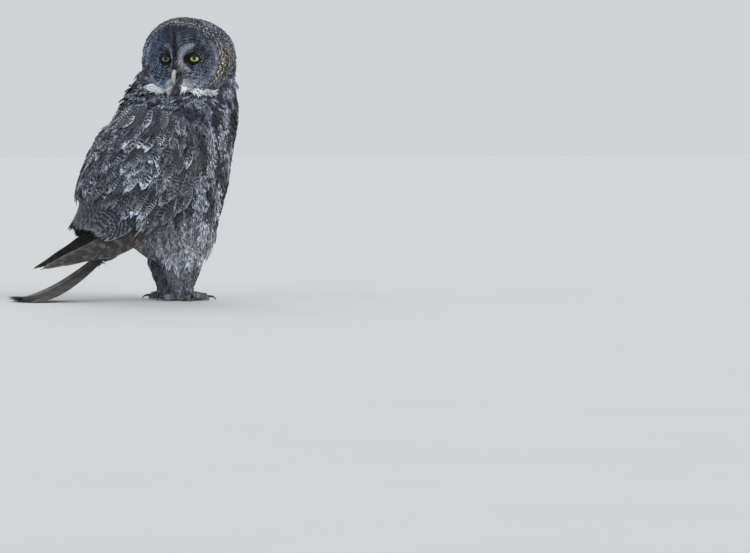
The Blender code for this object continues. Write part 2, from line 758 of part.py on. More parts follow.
def make_mantle():
    """The cape between the wings, with rows of scapulars that lie over the wings' back edges."""
    mantle = wing_shell(
        "mantle",
        MANTLE_SPANS,
        lambda span: (MANTLE_EDGE, 180 - MANTLE_EDGE),
        lambda span: through(WING_CORE_DEPTH, span)[0] * 0.9,
        MANTLE_LIFT,
        (10, 4),
        GREY_COAT,
    )
    vanes = []
    for root_span, tip_span in SCAPULAR_ROWS:
        for root_angle, tip_angle, lift, roll in SCAPULARS:
            root, tip = (root_span, root_angle), (tip_span - (90 - tip_angle) * 0.006, tip_angle)
            for mirror in (False, True):
                if mirror and tip_angle == 90:
                    continue
                ends = [(span, 180 - angle if mirror else angle) for span, angle in (root, tip)]
                turn = -roll if mirror else roll
                vanes.append(
                    wing_vane(*ends, SCAPULAR_WIDTH, (-0.002, lift), COVERT_OUTLINE, turn, False)
                )
    return fuse(mantle, vanes)


# Tail


def tail_height(share):
    """Height of the tail's middle line at a share of its run, falling to the floor."""
    return TAIL_ROOT[1] * max(0.0, 1 - share / TAIL_LANDING) ** 1.5


def make_tail():
    """Twelve flight feathers, the middle pair on top, rooted in the rump."""
    middle = Vector((0, TAIL_ROOT[0] + 0.012, TAIL_ROOT[1] - 0.012))
    root = ball("tail", Vector(), 1.0, FLIGHT, 10, 18)
    slope = Matrix.Rotation(math.radians(-40), 4, "X")
    root.data.transform(Matrix.Translation(middle) @ slope @ Matrix.Diagonal((0.040, 0.050, 0.024, 1)))
    vanes = []
    run = TAIL_LENGTH * TAIL_RUN_SHARE
    for k in range(TAIL_FEATHERS):
        place = (k - (TAIL_FEATHERS - 1) / 2) / ((TAIL_FEATHERS - 1) / 2)
        turn = TAIL_FAN * place
        length = 1 - 0.07 * abs(place) ** 2
        stack = TAIL_STACK * (TAIL_FEATHERS - 1) / 2 * (1 - abs(place))
        spine, normals, widths = [], [], []
        for share, full in FLIGHT_OUTLINE_LONG:
            far = run * share * length
            z = tail_height(share * length) + stack * min(1, 0.25 + share) + VANE_THICKNESS / 2
            spine.append(Vector((far * math.sin(turn) + place * 0.012, TAIL_ROOT[0] + far * math.cos(turn), z)))
            slope = tail_height(share * length + 0.02) - tail_height(share * length)
            rise = math.atan2(-slope, run * 0.02)
            normals.append(Vector((math.sin(turn) * math.sin(rise), math.cos(turn) * math.sin(rise), math.cos(rise))))
            widths.append(TAIL_FEATHER_WIDTH * full)
        vanes.append(blade("vane", spine, normals, widths, FLIGHT))
    fuse(root, vanes)
    return root


# Legs, feet and talons, made on the owl's right and mirrored


def leg_point(turn, z):
    """A point on the right leg, turned from the owl's left to its back."""
    radius = through(LEG, z)[0]
    return Vector((-FOOT_APART + radius * math.cos(turn), FOOT_Y + 1.1 * radius * math.sin(turn), z))


def make_leg():
    """Feathered trousers that narrow to the ankle."""
    rings = [[leg_point(2 * math.pi * i / LEG_SIDES, z) for i in range(LEG_SIDES)] for z, _ in LEG]
    locks = []
    for row, (count, height, length, width, swing) in enumerate(LEG_LOCKS):
        for k in range(count):
            turn = 2 * math.pi * (k + 0.5 * row) / count
            root = leg_point(turn, height)
            out = Vector((math.cos(turn), math.sin(turn), 0))
            uneven = 1 - LOCK_UNEVEN * (0.5 + 0.5 * math.sin(3.7 * k + row))
            locks.append(lock(root, out, length * uneven, width, swing))
    return fuse(loft("leg_right", rings, GREY_COAT), locks)


def toe_direction(turn):
    """Level direction of a toe of the right foot. Zero is straight ahead and positive turns outwards."""
    angle = math.radians(turn)
    return Vector((-math.sin(angle), -math.cos(angle), 0))


def make_foot():
    """Four feathered toes round a pad, flat underneath."""
    centre = Vector((-FOOT_APART, FOOT_Y, 0))
    sides = LEG_SIDES
    pad = loft(
        "foot_right",
        [
            [
                centre
                + Vector((radius * math.cos(2 * math.pi * i / sides), radius * math.sin(2 * math.pi * i / sides), z))
                for i in range(sides)
            ]
            for z, radius in FOOT_PAD
        ],
        GREY_COAT,
    )
    toes = []
    for turn, length in TOES:
        along = toe_direction(turn)
        across = Vector((0, 0, 1)).cross(along)
        rings = []
        for share, size in TOE_OUTLINE:
            middle = centre + along * (length * share) + Vector((0, 0, TOE_RADIUS * 0.75))
            radius = TOE_RADIUS * size
            rings.append(
                [
                    middle
                    + across * (radius * math.cos(2 * math.pi * (i + 0.5) / TOE_SIDES))
                    + Vector((0, 0, radius * math.sin(2 * math.pi * (i + 0.5) / TOE_SIDES)))
                    for i in range(TOE_SIDES)
                ]
            )
        toes.append(loft("toe", rings, GREY_COAT))
    fuse(pad, toes)
    carve(pad, block((-0.2, -0.2, -0.1), (0.2, 0.2, 0.0)))
    return pad


def make_talons():
    """A curved black claw on each toe, a gap away from the toe's flat end."""
    made = []
    for k, (turn, length) in enumerate(TOES):
        along = toe_direction(turn)
        across = Vector((0, 0, 1)).cross(along)
        start = Vector((-FOOT_APART, FOOT_Y, 0)) + along * (length + GAP)
        rings = []
        count = 4
        for j in range(count + 1):
            share = j / count
            bend = math.radians(78) * share
            arc = TALON_LENGTH / math.radians(78)
            middle = start + along * (arc * math.sin(bend))
            middle.z = TALON_ROOT_HEIGHT + TALON_ARCH * math.sin(math.pi * share * 0.55) - TALON_DROP * share**2
            radius = TALON_RADIUS * (1 - 0.88 * share)
            tangent = (along * math.cos(bend) - Vector((0, 0, 1)) * math.sin(bend)).normalized()
            upright = across.cross(tangent)
            rings.append(
                [
                    middle
                    + across * (radius * math.cos(2 * math.pi * i / 6))
                    + upright * (radius * math.sin(2 * math.pi * i / 6))
                    for i in range(6)
                ]
            )
        made.append(loft("talon_right_" + TOE_NAMES[k], rings, BLACK))
    return made


def move_to_middle():
    """Moves everything so that the origin is the middle of the underside of the whole bird."""
    bodies = [o for o in bpy.context.scene.collection.all_objects if o.type == "MESH"]
    points = np.array([v.co for o in bodies for v in o.data.vertices])
    low, high = points.min(axis=0), points.max(axis=0)
    shift = Matrix.Translation((-(low[0] + high[0]) / 2, -(low[1] + high[1]) / 2, -low[2]))
    for body in bodies:
        body.data.transform(shift)


def main():
    torso = fuse(make_trunk("torso", TRUNK[0][0], NECK_BASE, 11), belly_locks())
    neck = make_trunk("neck", NECK_BASE + GAP, NECK_TOP, 6)
    head = make_head()
    upper, lower = make_bill()
    carve(head, swollen(upper))
    carve(head, swollen(lower))
    eyes = [ball(name, eye_centre(side), EYE_RADIUS, YELLOW) for side, name in ((-1, "eye_right"), (1, "eye_left"))]
    for piece in [head, upper, lower, *eyes]:
        piece.data.transform(head_matrix())
    clearance = loft("cutter", [skull_ring(-row[0], *row[1:]) for row in FACE_CLEARANCE], PLAIN)
    clearance.data.transform(head_matrix())
    carve(neck, clearance)
    carve(neck, swollen(head))
    carve(torso, swollen(head))
    locks = ruff_locks()
    for piece in locks:
        piece.data.transform(head_matrix())
    fuse(head, locks)
    carve(head, swollen(neck, GAP * 0.8))
    mantle = make_mantle()
    carve(mantle, swollen(torso))
    carve(mantle, swollen(neck))
    right = make_wing()
    for wing in (right, mirrored(right, "wing_left")):
        carve(wing, swollen(torso))
        carve(wing, swollen(neck))
        carve(wing, swollen(mantle))
    tail = make_tail()
    carve(tail, swollen(torso))
    leg = make_leg()
    carve(leg, swollen(torso))
    mirrored(leg, "leg_left")
    foot = make_foot()
    mirrored(foot, "foot_left")
    for talon in make_talons():
        mirrored(talon, talon.name.replace("right", "left"))
    move_to_middle()


for old in list(bpy.data.objects):
    bpy.data.objects.remove(old)

PLAIN = material("plain", (0.5, 0.5, 0.5))
GREY_COAT = material("grey_coat", (0.10, 0.10, 0.11), 0.9)
FLIGHT = material("flight_feather", (0.08, 0.075, 0.075), 0.75)
YELLOW = material("yellow_iris", (0.75, 0.60, 0.05), 0.15)
HORN = material("pale_horn", (0.60, 0.52, 0.28), 0.4)
BLACK = material("black_horn", (0.02, 0.02, 0.02), 0.35)

main()
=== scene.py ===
"""Great grey owl, life size: the visible coat, eyes, bill and claws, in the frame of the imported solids.

Metres, +Z up. The body faces -Y, so +X is the owl's left side. The head looks back over the right shoulder.
Shapes are worked out about the foot of the neck's axis and moved into the solids' frame as they are made.
"""

import json
import math

import bmesh
import bpy
import numpy as np
from mathutils import Matrix, Vector
from mathutils.bvhtree import BVHTree

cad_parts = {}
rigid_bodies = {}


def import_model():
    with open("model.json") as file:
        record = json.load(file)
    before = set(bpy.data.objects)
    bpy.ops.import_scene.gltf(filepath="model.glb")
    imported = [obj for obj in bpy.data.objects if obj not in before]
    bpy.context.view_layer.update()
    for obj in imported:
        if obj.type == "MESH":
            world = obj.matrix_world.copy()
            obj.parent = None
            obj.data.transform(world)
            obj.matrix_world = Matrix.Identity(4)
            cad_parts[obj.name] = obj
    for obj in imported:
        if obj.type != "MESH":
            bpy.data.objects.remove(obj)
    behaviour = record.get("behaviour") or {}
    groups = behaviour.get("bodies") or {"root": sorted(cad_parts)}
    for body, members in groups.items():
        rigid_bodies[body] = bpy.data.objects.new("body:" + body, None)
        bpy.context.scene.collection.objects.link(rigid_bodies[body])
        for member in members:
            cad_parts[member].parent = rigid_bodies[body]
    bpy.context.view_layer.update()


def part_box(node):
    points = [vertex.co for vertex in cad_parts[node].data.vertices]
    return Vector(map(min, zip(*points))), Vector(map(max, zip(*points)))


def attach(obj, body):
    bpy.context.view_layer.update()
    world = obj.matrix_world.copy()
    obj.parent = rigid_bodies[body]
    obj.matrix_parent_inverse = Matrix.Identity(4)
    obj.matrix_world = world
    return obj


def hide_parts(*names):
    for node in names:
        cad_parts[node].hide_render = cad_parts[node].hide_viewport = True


for leftover in list(bpy.data.objects):
    bpy.data.objects.remove(leftover)
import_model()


def metres(*rows):
    """A table given in millimetres."""
    return np.array(rows, float) / 1000


UP = Vector((0, 0, 1))
SIDES = ((-1, "right"), (1, "left"))

# Trunk and neck: height, centre y, then the reach to front, back, left and right
TRUNK = metres(
    (76, -30, 12, 12, 12, 12),
    (81, -31, 42, 40, 42, 42),
    (94, -29, 62, 60, 62, 62),
    (118, -20, 84, 84, 80, 80),
    (152, -5, 105, 104, 91, 91),
    (185, -2, 118, 117, 97, 97),
    (222, -3, 127, 125, 100, 100),
    (262, -8, 128, 126, 101, 101),
    (300, -17, 126, 124, 99, 98),
    (335, -28, 121, 118, 96, 88),
    (365, -38, 113, 112, 92, 68),
    (392, -45, 106, 107, 88, 54),
    (418, -50, 99, 103, 84, 46),
    (440, -54, 88, 96, 78, 40),
)
# Depth of the coat over the skin
BODY_COAT, NECK_COAT, HEAD_COAT, FACE_COAT, LEG_COAT = 0.006, 0.003, 0.0055, 0.003, 0.006
SKIN_VOXEL = 0.0023

# Head, in its own frame: the face looks along -Y from the centre of the skull
HEAD_CENTRE = Vector((0.0, -0.0555, 0.456))
HEAD_TURN = math.radians(-140)
HEAD_ROUNDNESS = 2.15
# Slices: distance behind the centre, half width, and the reach above and below
SKULL = metres((81, 42, 40, 40), (65, 66, 60, 58), (42, 83, 73, 68), (15, 91, 79.5, 74), (-5, 92, 80, 76))
CHEEK_FULLNESS = 1.045
FACE_CLEARANCE = metres(
    (12, 80, 64, 64), (30, 90, 70, 66.5), (40, 160, 100, 72), (85, 200, 120, 112), (200, 300, 150, 230)
)
DISC_HALF_WIDTH, DISC_HALF_HEIGHT = 0.0830, 0.0655
DISC_FRONT, DISC_SWEEP, DISC_DEPTH = 0.0320, 0.0110, 0.0040
EYE_MOUND = 0.0010
RIDGE_HEIGHT, RIDGE_WIDTH, RIDGE_SPREAD = 0.0190, 0.0130, 0.0090
RIDGE_LOW, RIDGE_LOW_SHARE = -0.024, 0.62
EYE_RADIUS = 0.0118
EYE_OUT, EYE_UP, EYE_FORWARD = 0.0312, 0.0020, 0.0205
GAZE_TURNS = {-1: math.radians(12), 1: math.radians(20)}  # towards the owl's left
# Opening of the lids, in millimetres from the eye's middle, and where they end
LID_WIDTH, LID_TOP, LID_BOTTOM, LID_REACH = 8.2, 3.1, 5.6, 13.0

# Bill: forward, up, half width and half depth of each slice, from root to tip
BILL_UPPER = metres(
    (29, -15, 4, 4), (40, -18.5, 4.6, 4.8), (46.2, -24.5, 4.6, 5), (49, -32, 4.1, 4.6), (49.2, -39, 3.1, 3.6),
    (47.5, -44.5, 1.9, 2.2), (45, -48.8, 0.6, 0.8),
)
BILL_LOWER = metres(
    (27, -34.5, 3.4, 2.6), (37, -37.2, 3.8, 2.9), (41.5, -40.4, 3.1, 2.5), (43.3, -44, 1.7, 1.4)
)
NOSTRIL = (0.0046, 0.0440, -0.0225)  # out, forward and up from the skull's centre

# Wing surface: y and z of its axis, then the reach to the side and to the back, from shoulder to tip
WING_AXIS = metres(
    (-16, 360, 88, 90), (-2, 292.5, 113, 112), (24, 231, 119, 121), (53, 176, 113, 116),
    (89, 124.5, 96, 96), (145, 88, 74, 62), (198, 68, 50, 34), (238, 58, 30, 14),
)
WING_LAST = len(WING_AXIS) - 1
# Angles of the core's front and back edge at each of these places
WING_EDGES = [(-26, 79), (-31, 79), (-31, 79), (-24, 79), (-14, 76), (-8, 66), (-4, 55), (0, 40)]
# Span and depth of the shells under the feathers, and how far their tops lie from the wing's surface
CORE_DEPTH = [(0.3, 0.030), (1.0, 0.036), (2.0, 0.042), (3.0, 0.042), (3.6, 0.020), (4.1, 0.010)]
WING_REACH, MANTLE_REACH = (0.30, 4.10), (0.22, 3.62)
WING_CORE_TOP, MANTLE_CORE_TOP = -0.0085, -0.0065

TAIL_FEATHERS = 12
TAIL_RUN = 0.245 * 0.86
TAIL_ROOT = (0.072, 0.127)
TAIL_FAN = math.radians(12)
TAIL_FEATHER_WIDTH = 0.036
TAIL_LANDING = 0.92
TAIL_STACK = 0.0017

LEG = metres((112, 38), (88, 37), (66, 34), (46, 28.5), (30.4, 21.5))
FOOT_PAD = metres((30, 20.5), (18, 20), (1.5, 20))
TOES = [(-16, 0.047, "inner"), (17, 0.050, "middle"), (82, 0.042, "outer"), (172, 0.036, "hind")]
TOE_RADIUS = 0.0098
FOOT_APART, FOOT_Y, FOOT_TOP = 0.041, -0.030, 0.029
TALON_LENGTH, TALON_CURVE = 0.022, math.radians(78)

# Colours of the coat in linear light
BLACK = (0.006, 0.007, 0.009)
DARK = (0.017, 0.019, 0.024)

rng = np.random.default_rng(7)


def through(stations, at):
    """The columns of a table at places between its rows, by a smooth curve through them."""
    table = np.array(stations, float)
    table = table[np.argsort(table[:, 0])]
    place, columns = table[:, 0], table[:, 1:]
    at = np.clip(np.asarray(at, float), place[0], place[-1])
    slopes = np.gradient(columns, place, axis=0)
    k = np.clip(np.searchsorted(place, at, side="right") - 1, 0, len(place) - 2)
    span = (place[k + 1] - place[k])[..., None]
    s = (at - place[k])[..., None] / span
    ends = columns[k] * (1 + 2 * s) * (1 - s) ** 2 + columns[k + 1] * s * s * (3 - 2 * s)
    return ends + slopes[k] * span * s * (1 - s) ** 2 + slopes[k + 1] * span * s * s * (s - 1)


def numbered(rows):
    """A table's rows with their own numbers in front, as places for through."""
    return [(k, *row) for k, row in enumerate(rows)]


def unit(v):
    return v / np.maximum(np.linalg.norm(v, axis=-1, keepdims=True), 1e-9)


def smooth(low, high, value):
    """0 below low, 1 above high, and an even curve between."""
    s = np.clip((value - low) / (high - low), 0, 1)
    return s * s * (3 - 2 * s)


def mix(a, b, share):
    """Colours or vectors a and b mixed, where share is an array of their leading shape."""
    share = np.asarray(share)[..., None]
    return np.asarray(a) * (1 - share) + np.asarray(b) * share


HEAD_MATRIX = Matrix.Translation(HEAD_CENTRE) @ Matrix.Rotation(HEAD_TURN, 4, "Z")
HEAD_AXES = np.array(Matrix.Rotation(HEAD_TURN, 3, "Z"))


def to_head(points):
    """Places in the head's own frame."""
    return (points - np.array(HEAD_CENTRE)) @ HEAD_AXES


def head_parts(points):
    """How far out, forward and up places lie from the skull's centre."""
    h = to_head(points)
    return h[:, 0], -h[:, 1], h[:, 2]


def from_head(points):
    return points @ HEAD_AXES.T + np.array(HEAD_CENTRE)


def solids_offset():
    """From the shapes' own origin to the solids' frame, read from where the solids have the left eye."""
    low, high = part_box("eye_left")
    own = HEAD_MATRIX @ Vector((EYE_OUT, -EYE_FORWARD, EYE_UP))
    return Vector((0, ((low + high) / 2 - own).y, 0))


OFFSET = solids_offset()

# Plain shapes


def linked(name, data):
    """A new object in the scene."""
    made = bpy.data.objects.new(name, data)
    bpy.context.scene.collection.objects.link(made)
    return made


def link(name, mesh, look, slot, replaced=(), smooth_faces=True):
    """Puts a mesh in the scene as a piece of the owl."""
    mesh.polygons.foreach_set("use_smooth", np.full(len(mesh.polygons), smooth_faces))
    mesh.materials.clear()
    mesh.materials.append(look)
    made = linked(name, mesh)
    made.location = OFFSET
    bpy.context.view_layer.update()
    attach(made, "root")
    if replaced:
        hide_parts(*replaced)
    return made


def raw_mesh(points, faces):
    mesh = bpy.data.meshes.new("shape")
    mesh.from_pydata([tuple(p) for p in points], [], faces)
    return mesh


def closed_mesh(points, faces):
    """A mesh from points and faces, its faces turned outwards."""
    mesh = raw_mesh(points, faces)
    body = bmesh.new()
    body.from_mesh(mesh)
    bmesh.ops.recalc_face_normals(body, faces=body.faces)
    body.to_mesh(mesh)
    body.free()
    return mesh


def loft(rings, closed=True):
    """A body through rings of equal counts. A closed one has a fan at each end, an open one is a band."""
    sides = len(rings[0])
    points = [p for ring in rings for p in ring]
    faces = []
    for a in range(0, len(points) - sides, sides):
        for i in range(sides):
            j = (i + 1) % sides
            face = (a + i, a + j, a + sides + j, a + sides + i)
            faces.append(face if closed else face[:1] + face[:0:-1])
    if not closed:
        return raw_mesh(points, faces)
    for k in (0, len(rings) - 1):
        points.append(np.mean([list(p) for p in rings[k]], axis=0))
        faces += [(k * sides + i, k * sides + (i + 1) % sides, len(points) - 1) for i in range(sides)]
    return closed_mesh(points, faces)


def circle(sides):
    """Cosine and sine of turns spread evenly round."""
    return [(math.cos(t), math.sin(t)) for t in np.linspace(0, 2 * math.pi, sides, endpoint=False)]


def hoop(middle, across, upright, sides):
    """A ring round a middle from its two half axes."""
    return [middle + across * c + upright * s for c, s in circle(sides)]


def ball(centre, radius, rings, sides):
    """A globe whose poles look forward and back, as rings for loft."""
    slices = []
    for turn in np.linspace(0, math.pi, rings + 1)[1:-1]:
        ahead, wide = radius * math.cos(turn), radius * math.sin(turn)
        slices.append(hoop(centre - Vector((0, ahead, 0)), Vector((wide, 0, 0)), UP * wide, sides))
    return slices


def read(items, field, width, kind=float):
    """A field of a mesh's points, triangles or corners, as rows of numbers."""
    values = np.empty(len(items) * width, kind)
    items.foreach_get(field, values)
    return values.reshape(-1, width)


def keep_values(mesh, **layers):
    """Stores a vector or a colour of four numbers for each point under each name."""
    for name, values in layers.items():
        kind, key = ("FLOAT_COLOR", "color") if values.shape[1] == 4 else ("FLOAT_VECTOR", "vector")
        layer = mesh.attributes.new(name, kind, "POINT")
        layer.data.foreach_set(key, values.astype(np.float32).ravel())


# Skin of the body, head, legs and feet


def trunk_rings():
    rings = []
    for z in np.linspace(0.082, 0.436, 40):
        y, front, back, left, right = through(TRUNK, z)
        coat = BODY_COAT + (NECK_COAT - BODY_COAT) * float(smooth(0.30, 0.37, z))
        ring = []
        for c, s in circle(64):
            across = (left if c > 0 else right) - coat
            along = (back if s > 0 else front) - coat
            ring.append(Vector((c * across, y + s * along, z)))
        rings.append(ring)
    return rings


def skull_ring(behind, half_width, above, below, sides=72):
    """One slice of the head across the line of sight, in the head's frame."""
    ring = []
    for c, s in circle(sides):
        x = half_width * math.copysign(abs(c) ** (2 / HEAD_ROUNDNESS), c)
        z = (above if s > 0 else below) * math.copysign(abs(s) ** (2 / HEAD_ROUNDNESS), s)
        ring.append(Vector((x, behind, z)))
    return ring


def disc_share(x, z):
    """How far out a place on the face lies: 1 on the disc's rim."""
    return np.hypot(x / DISC_HALF_WIDTH, z / DISC_HALF_HEIGHT)


def eye_distance(x, z):
    """Distance from the nearest eye's middle, seen from the front."""
    return np.hypot(np.abs(x) - EYE_OUT, z - EYE_UP)


def face_front(x, z):
    """How far the face stands in front of the skull's centre, at a place on it seen from the front."""
    out = np.minimum(1.0, disc_share(x, z))
    base = DISC_FRONT - DISC_SWEEP * (x / DISC_HALF_WIDTH) ** 2 - DISC_DEPTH * (1 - out**2.5)
    width = RIDGE_WIDTH + RIDGE_SPREAD * np.maximum(0.0, z / DISC_HALF_HEIGHT)
    low = 1 / (1 + np.exp((z - RIDGE_LOW) / 0.004))
    ridge = RIDGE_HEIGHT * (1 - (1 - RIDGE_LOW_SHARE) * low) * np.exp(-((x / width) ** 2))
    return base + ridge + EYE_MOUND * np.exp(-((eye_distance(x, z) / 0.014) ** 2))


def face_ring(share):
    ring = skull_ring(0, DISC_HALF_WIDTH * share, DISC_HALF_HEIGHT * share, DISC_HALF_HEIGHT * share)
    return [Vector((p.x, -face_front(p.x, p.z) + FACE_COAT, p.z)) for p in ring]


def head_rings():
    rings = [skull_ring(row[0], *(row[1:] - HEAD_COAT)) for row in SKULL]
    cheek = [(a + b) / 2 for a, b in zip(rings[-1], face_ring(1.0))]
    rings.append([Vector((p.x * CHEEK_FULLNESS, p.y, p.z * CHEEK_FULLNESS)) for p in cheek])
    return rings + [face_ring(1 - 0.97 * k / 24) for k in range(25)]


def foot_middle(side):
    return Vector((side * FOOT_APART, FOOT_Y, 0))


def leg_rings(side):
    rings = []
    for z in np.linspace(0.112, 0.026, 12):
        radius = through(LEG, max(z, 0.0304))[0] - LEG_COAT
        axes = Vector((radius, 0, 0)), Vector((0, 1.1 * radius, 0))
        rings.append(hoop(foot_middle(side) + UP * z, *axes, 24))
    return rings


def toe_axes(turn, side):
    """The ways along and across a toe."""
    angle = math.radians(turn)
    along = Vector((side * math.sin(angle), -math.cos(angle), 0))
    return along, UP.cross(along)


def toe_rings(turn, length, side):
    along, across = toe_axes(turn, side)
    rings = []
    for share, size in [(0.0, 1.0), (0.3, 0.95), (0.5, 1.0), (0.7, 0.86), (0.88, 0.84), (1.0, 0.5)]:
        radius = TOE_RADIUS * size - 0.0022
        middle = foot_middle(side) + along * (length * share) + UP * (radius + 0.0008)
        rings.append(hoop(middle, across * radius, UP * radius, 16))
    return rings


def foot_rings(side):
    rings = []
    for z, radius in FOOT_PAD:
        axes = Vector((0.82 * radius, 0, 0)), Vector((0, 0.82 * radius, 0))
        rings.append(hoop(foot_middle(side) + UP * z, *axes, 24))
    return rings


def rump_mesh():
    """The round root of the tail."""
    mesh = loft(ball(Vector(), 1.0, 12, 20))
    middle = Vector((0, TAIL_ROOT[0] + 0.008, TAIL_ROOT[1] - 0.006))
    slope = Matrix.Rotation(math.radians(-40), 4, "X")
    mesh.transform(Matrix.Translation(middle) @ slope @ Matrix.Diagonal((0.036, 0.052, 0.020, 1)))
    return mesh


def in_head(mesh):
    """A mesh made in the head's frame, moved to where the head is."""
    mesh.transform(HEAD_MATRIX)
    return mesh


def finished_mesh(source):
    """The mesh of an object with its modifiers applied. The object is removed."""
    bpy.context.view_layer.update()
    shown = source.evaluated_get(bpy.context.evaluated_depsgraph_get())
    mesh = bpy.data.meshes.new_from_object(shown)
    bpy.data.objects.remove(source)
    return mesh


def make_skin_mesh():
    """One closed skin over trunk, head, legs, feet and the tail's root."""
    trunk = linked("trunk", loft(trunk_rings()))
    cutter = linked("cutter", in_head(loft([skull_ring(-row[0], *row[1:]) for row in FACE_CLEARANCE])))
    cut = trunk.modifiers.new("cut", "BOOLEAN")
    cut.operation, cut.object, cut.solver = "DIFFERENCE", cutter, "MANIFOLD"
    parts = [finished_mesh(trunk), in_head(loft(head_rings())), rump_mesh()]
    bpy.data.objects.remove(cutter)
    for side, _ in SIDES:
        parts += [loft(leg_rings(side)), loft(foot_rings(side))]
        parts += [loft(toe_rings(turn, length, side)) for turn, length, _ in TOES]
    joined = bmesh.new()
    for mesh in parts:
        joined.from_mesh(mesh)
    whole = bpy.data.meshes.new("skin")
    joined.to_mesh(whole)
    joined.free()
    body = linked("body", whole)
    remesh = body.modifiers.new("remesh", "REMESH")
    remesh.mode, remesh.voxel_size = "VOXEL", SKIN_VOXEL
    relax = body.modifiers.new("relax", "SMOOTH")
    relax.factor, relax.iterations = 0.5, 4
    return finished_mesh(body)


def unwrap(mesh):
    """The skin's own unwrap, kept as the map that every tuft's patch is placed on."""
    body = linked("body", mesh)
    bpy.context.view_layer.objects.active = body
    body.select_set(True)
    while mesh.uv_layers:
        mesh.uv_layers.remove(mesh.uv_layers[0])
    mesh.uv_layers.new(name="OFBake")
    bpy.ops.object.mode_set(mode="EDIT")
    bpy.ops.mesh.select_all(action="SELECT")
    bpy.ops.uv.smart_project(angle_limit=math.radians(66), island_margin=0.004)
    bpy.ops.object.mode_set(mode="OBJECT")
    bpy.context.scene.collection.objects.unlink(body)
    bpy.data.objects.remove(body)


CELL_PRIMES = np.array([73856093, 19349663, 83492791])  # they give each cell of a grid its own number


class Skin:
    """The skin's triangles, with a way to find the nearest place on it."""

    def __init__(self, mesh):
        self.points, self.normals = read(mesh.vertices, "co", 3), read(mesh.vertices, "normal", 3)
        mesh.calc_loop_triangles()
        self.corners = read(mesh.loop_triangles, "vertices", 3, np.int32)
        loops = read(mesh.loop_triangles, "loops", 3, np.int32)
        self.uv = read(mesh.uv_layers["OFBake"].data, "uv", 2)[loops]
        self.tree = BVHTree.FromPolygons(self.points.tolist(), self.corners.tolist(), all_triangles=True)

    def triangles(self, faces=slice(None)):
        """The corners' places of some triangles."""
        return [self.points[self.corners[faces, j]] for j in range(3)]

    def blend(self, faces, weights):
        """Place, normal and map place at weights of the corners of some triangles."""
        w = weights[..., None]
        place = (self.points[self.corners[faces]] * w).sum(1)
        normal = unit((self.normals[self.corners[faces]] * w).sum(1))
        return {"place": place, "normal": normal, "uv": (self.uv[faces] * w).sum(1)}

    def nearest(self, points):
        """The nearest place on the skin to each point, with its normal and map place."""
        hits = [self.tree.find_nearest(Vector(p)) for p in points]
        faces = np.array([hit[2] for hit in hits])
        a, b, c = self.triangles(faces)
        v0, v1, v2 = b - a, c - a, np.array([hit[0][:] for hit in hits]) - a
        d00, d01, d11 = (v0 * v0).sum(1), (v0 * v1).sum(1), (v1 * v1).sum(1)
        d20, d21 = (v2 * v0).sum(1), (v2 * v1).sum(1)
        area = np.maximum(d00 * d11 - d01 * d01, 1e-18)
        v = (d11 * d20 - d01 * d21) / area
        w = (d00 * d21 - d01 * d20) / area
        return self.blend(faces, np.stack([1 - v - w, v, w], axis=1))

    def scatter(self, spacing, wanted):
        """Random places about a spacing apart where wanted(places) holds."""
        a, b, c = self.triangles()
        area = np.linalg.norm(np.cross(b - a, c - a), axis=1) / 2
        area = np.where(wanted((a + b + c) / 3), area, 0)
        count = int(area.sum() / spacing**2 * 2.2)
        faces = rng.choice(len(area), size=count, p=area / area.sum())
        r, s = np.sqrt(rng.random(count)), rng.random(count)
        roots = self.blend(faces, np.stack([1 - r, r * (1 - s), r * s], axis=1))
        cell = np.floor(roots["place"] / spacing).astype(np.int64)
        key = np.bitwise_xor.reduce(cell * CELL_PRIMES, axis=1)
        return keep(roots, np.sort(np.unique(key, return_index=True)[1]))


def keep(roots, chosen):
    return {key: value[chosen] for key, value in roots.items()}


# Feathers

# Outlines: width at the root, share of the length where they are full, width of the tip, and its roundness
LENS = (0.50, 0.62, 0.34, 0.8)  # soft body feather
TUFT = (0.55, 0.30, 0.02, 1.7)  # tapering wisp
BROAD = (0.42, 0.62, 0.22, 0.9)  # covert, full to near its round tip
BLADE = (0.55, 0.72, 0.24, 0.85)  # flight feather with parallel edges
PATCH = 0.003  # size of a tuft on the bake map
FLOOR_GAP = 0.0006


def outline(t, root, full, tip, power):
    """Width of a feather at shares t of its length."""
    rise = root + (1 - root) * smooth(0, full, t)
    fall = np.clip((1 - t) / (1 - full), 0, 1) ** (0.5 * power)
    return rise * np.where(t > full, tip + (1 - tip) * fall, 1.0)


def spines(skin, roots, lies, length, hug, rows):
    """Middle lines over the skin from their roots. hug is 1 on the skin and 0 for a straight feather."""
    place, normal = roots["place"], roots["normal"]
    half = length[:, None] / 2
    hug = np.broadcast_to(hug, length.shape)[:, None]

    def laid(free, before):
        on = skin.nearest(free)
        return on["place"] * hug + free * (1 - hug), unit(on["normal"] * hug + before * (1 - hug))

    middle, middle_normal = laid(place + lies * half, normal)
    end, end_normal = laid(middle + unit(middle - place) * half, middle_normal)
    t = np.linspace(0, 1, rows + 1)[None, :, None]
    weights = ((1 - t) * (1 - 2 * t), 4 * t * (1 - t), t * (2 * t - 1))
    line = sum(w * p[:, None, :] for w, p in zip(weights, (place, middle, end)))
    return line, unit(sum(w * n[:, None, :] for w, n in zip(weights, (normal, middle_normal, end_normal))))


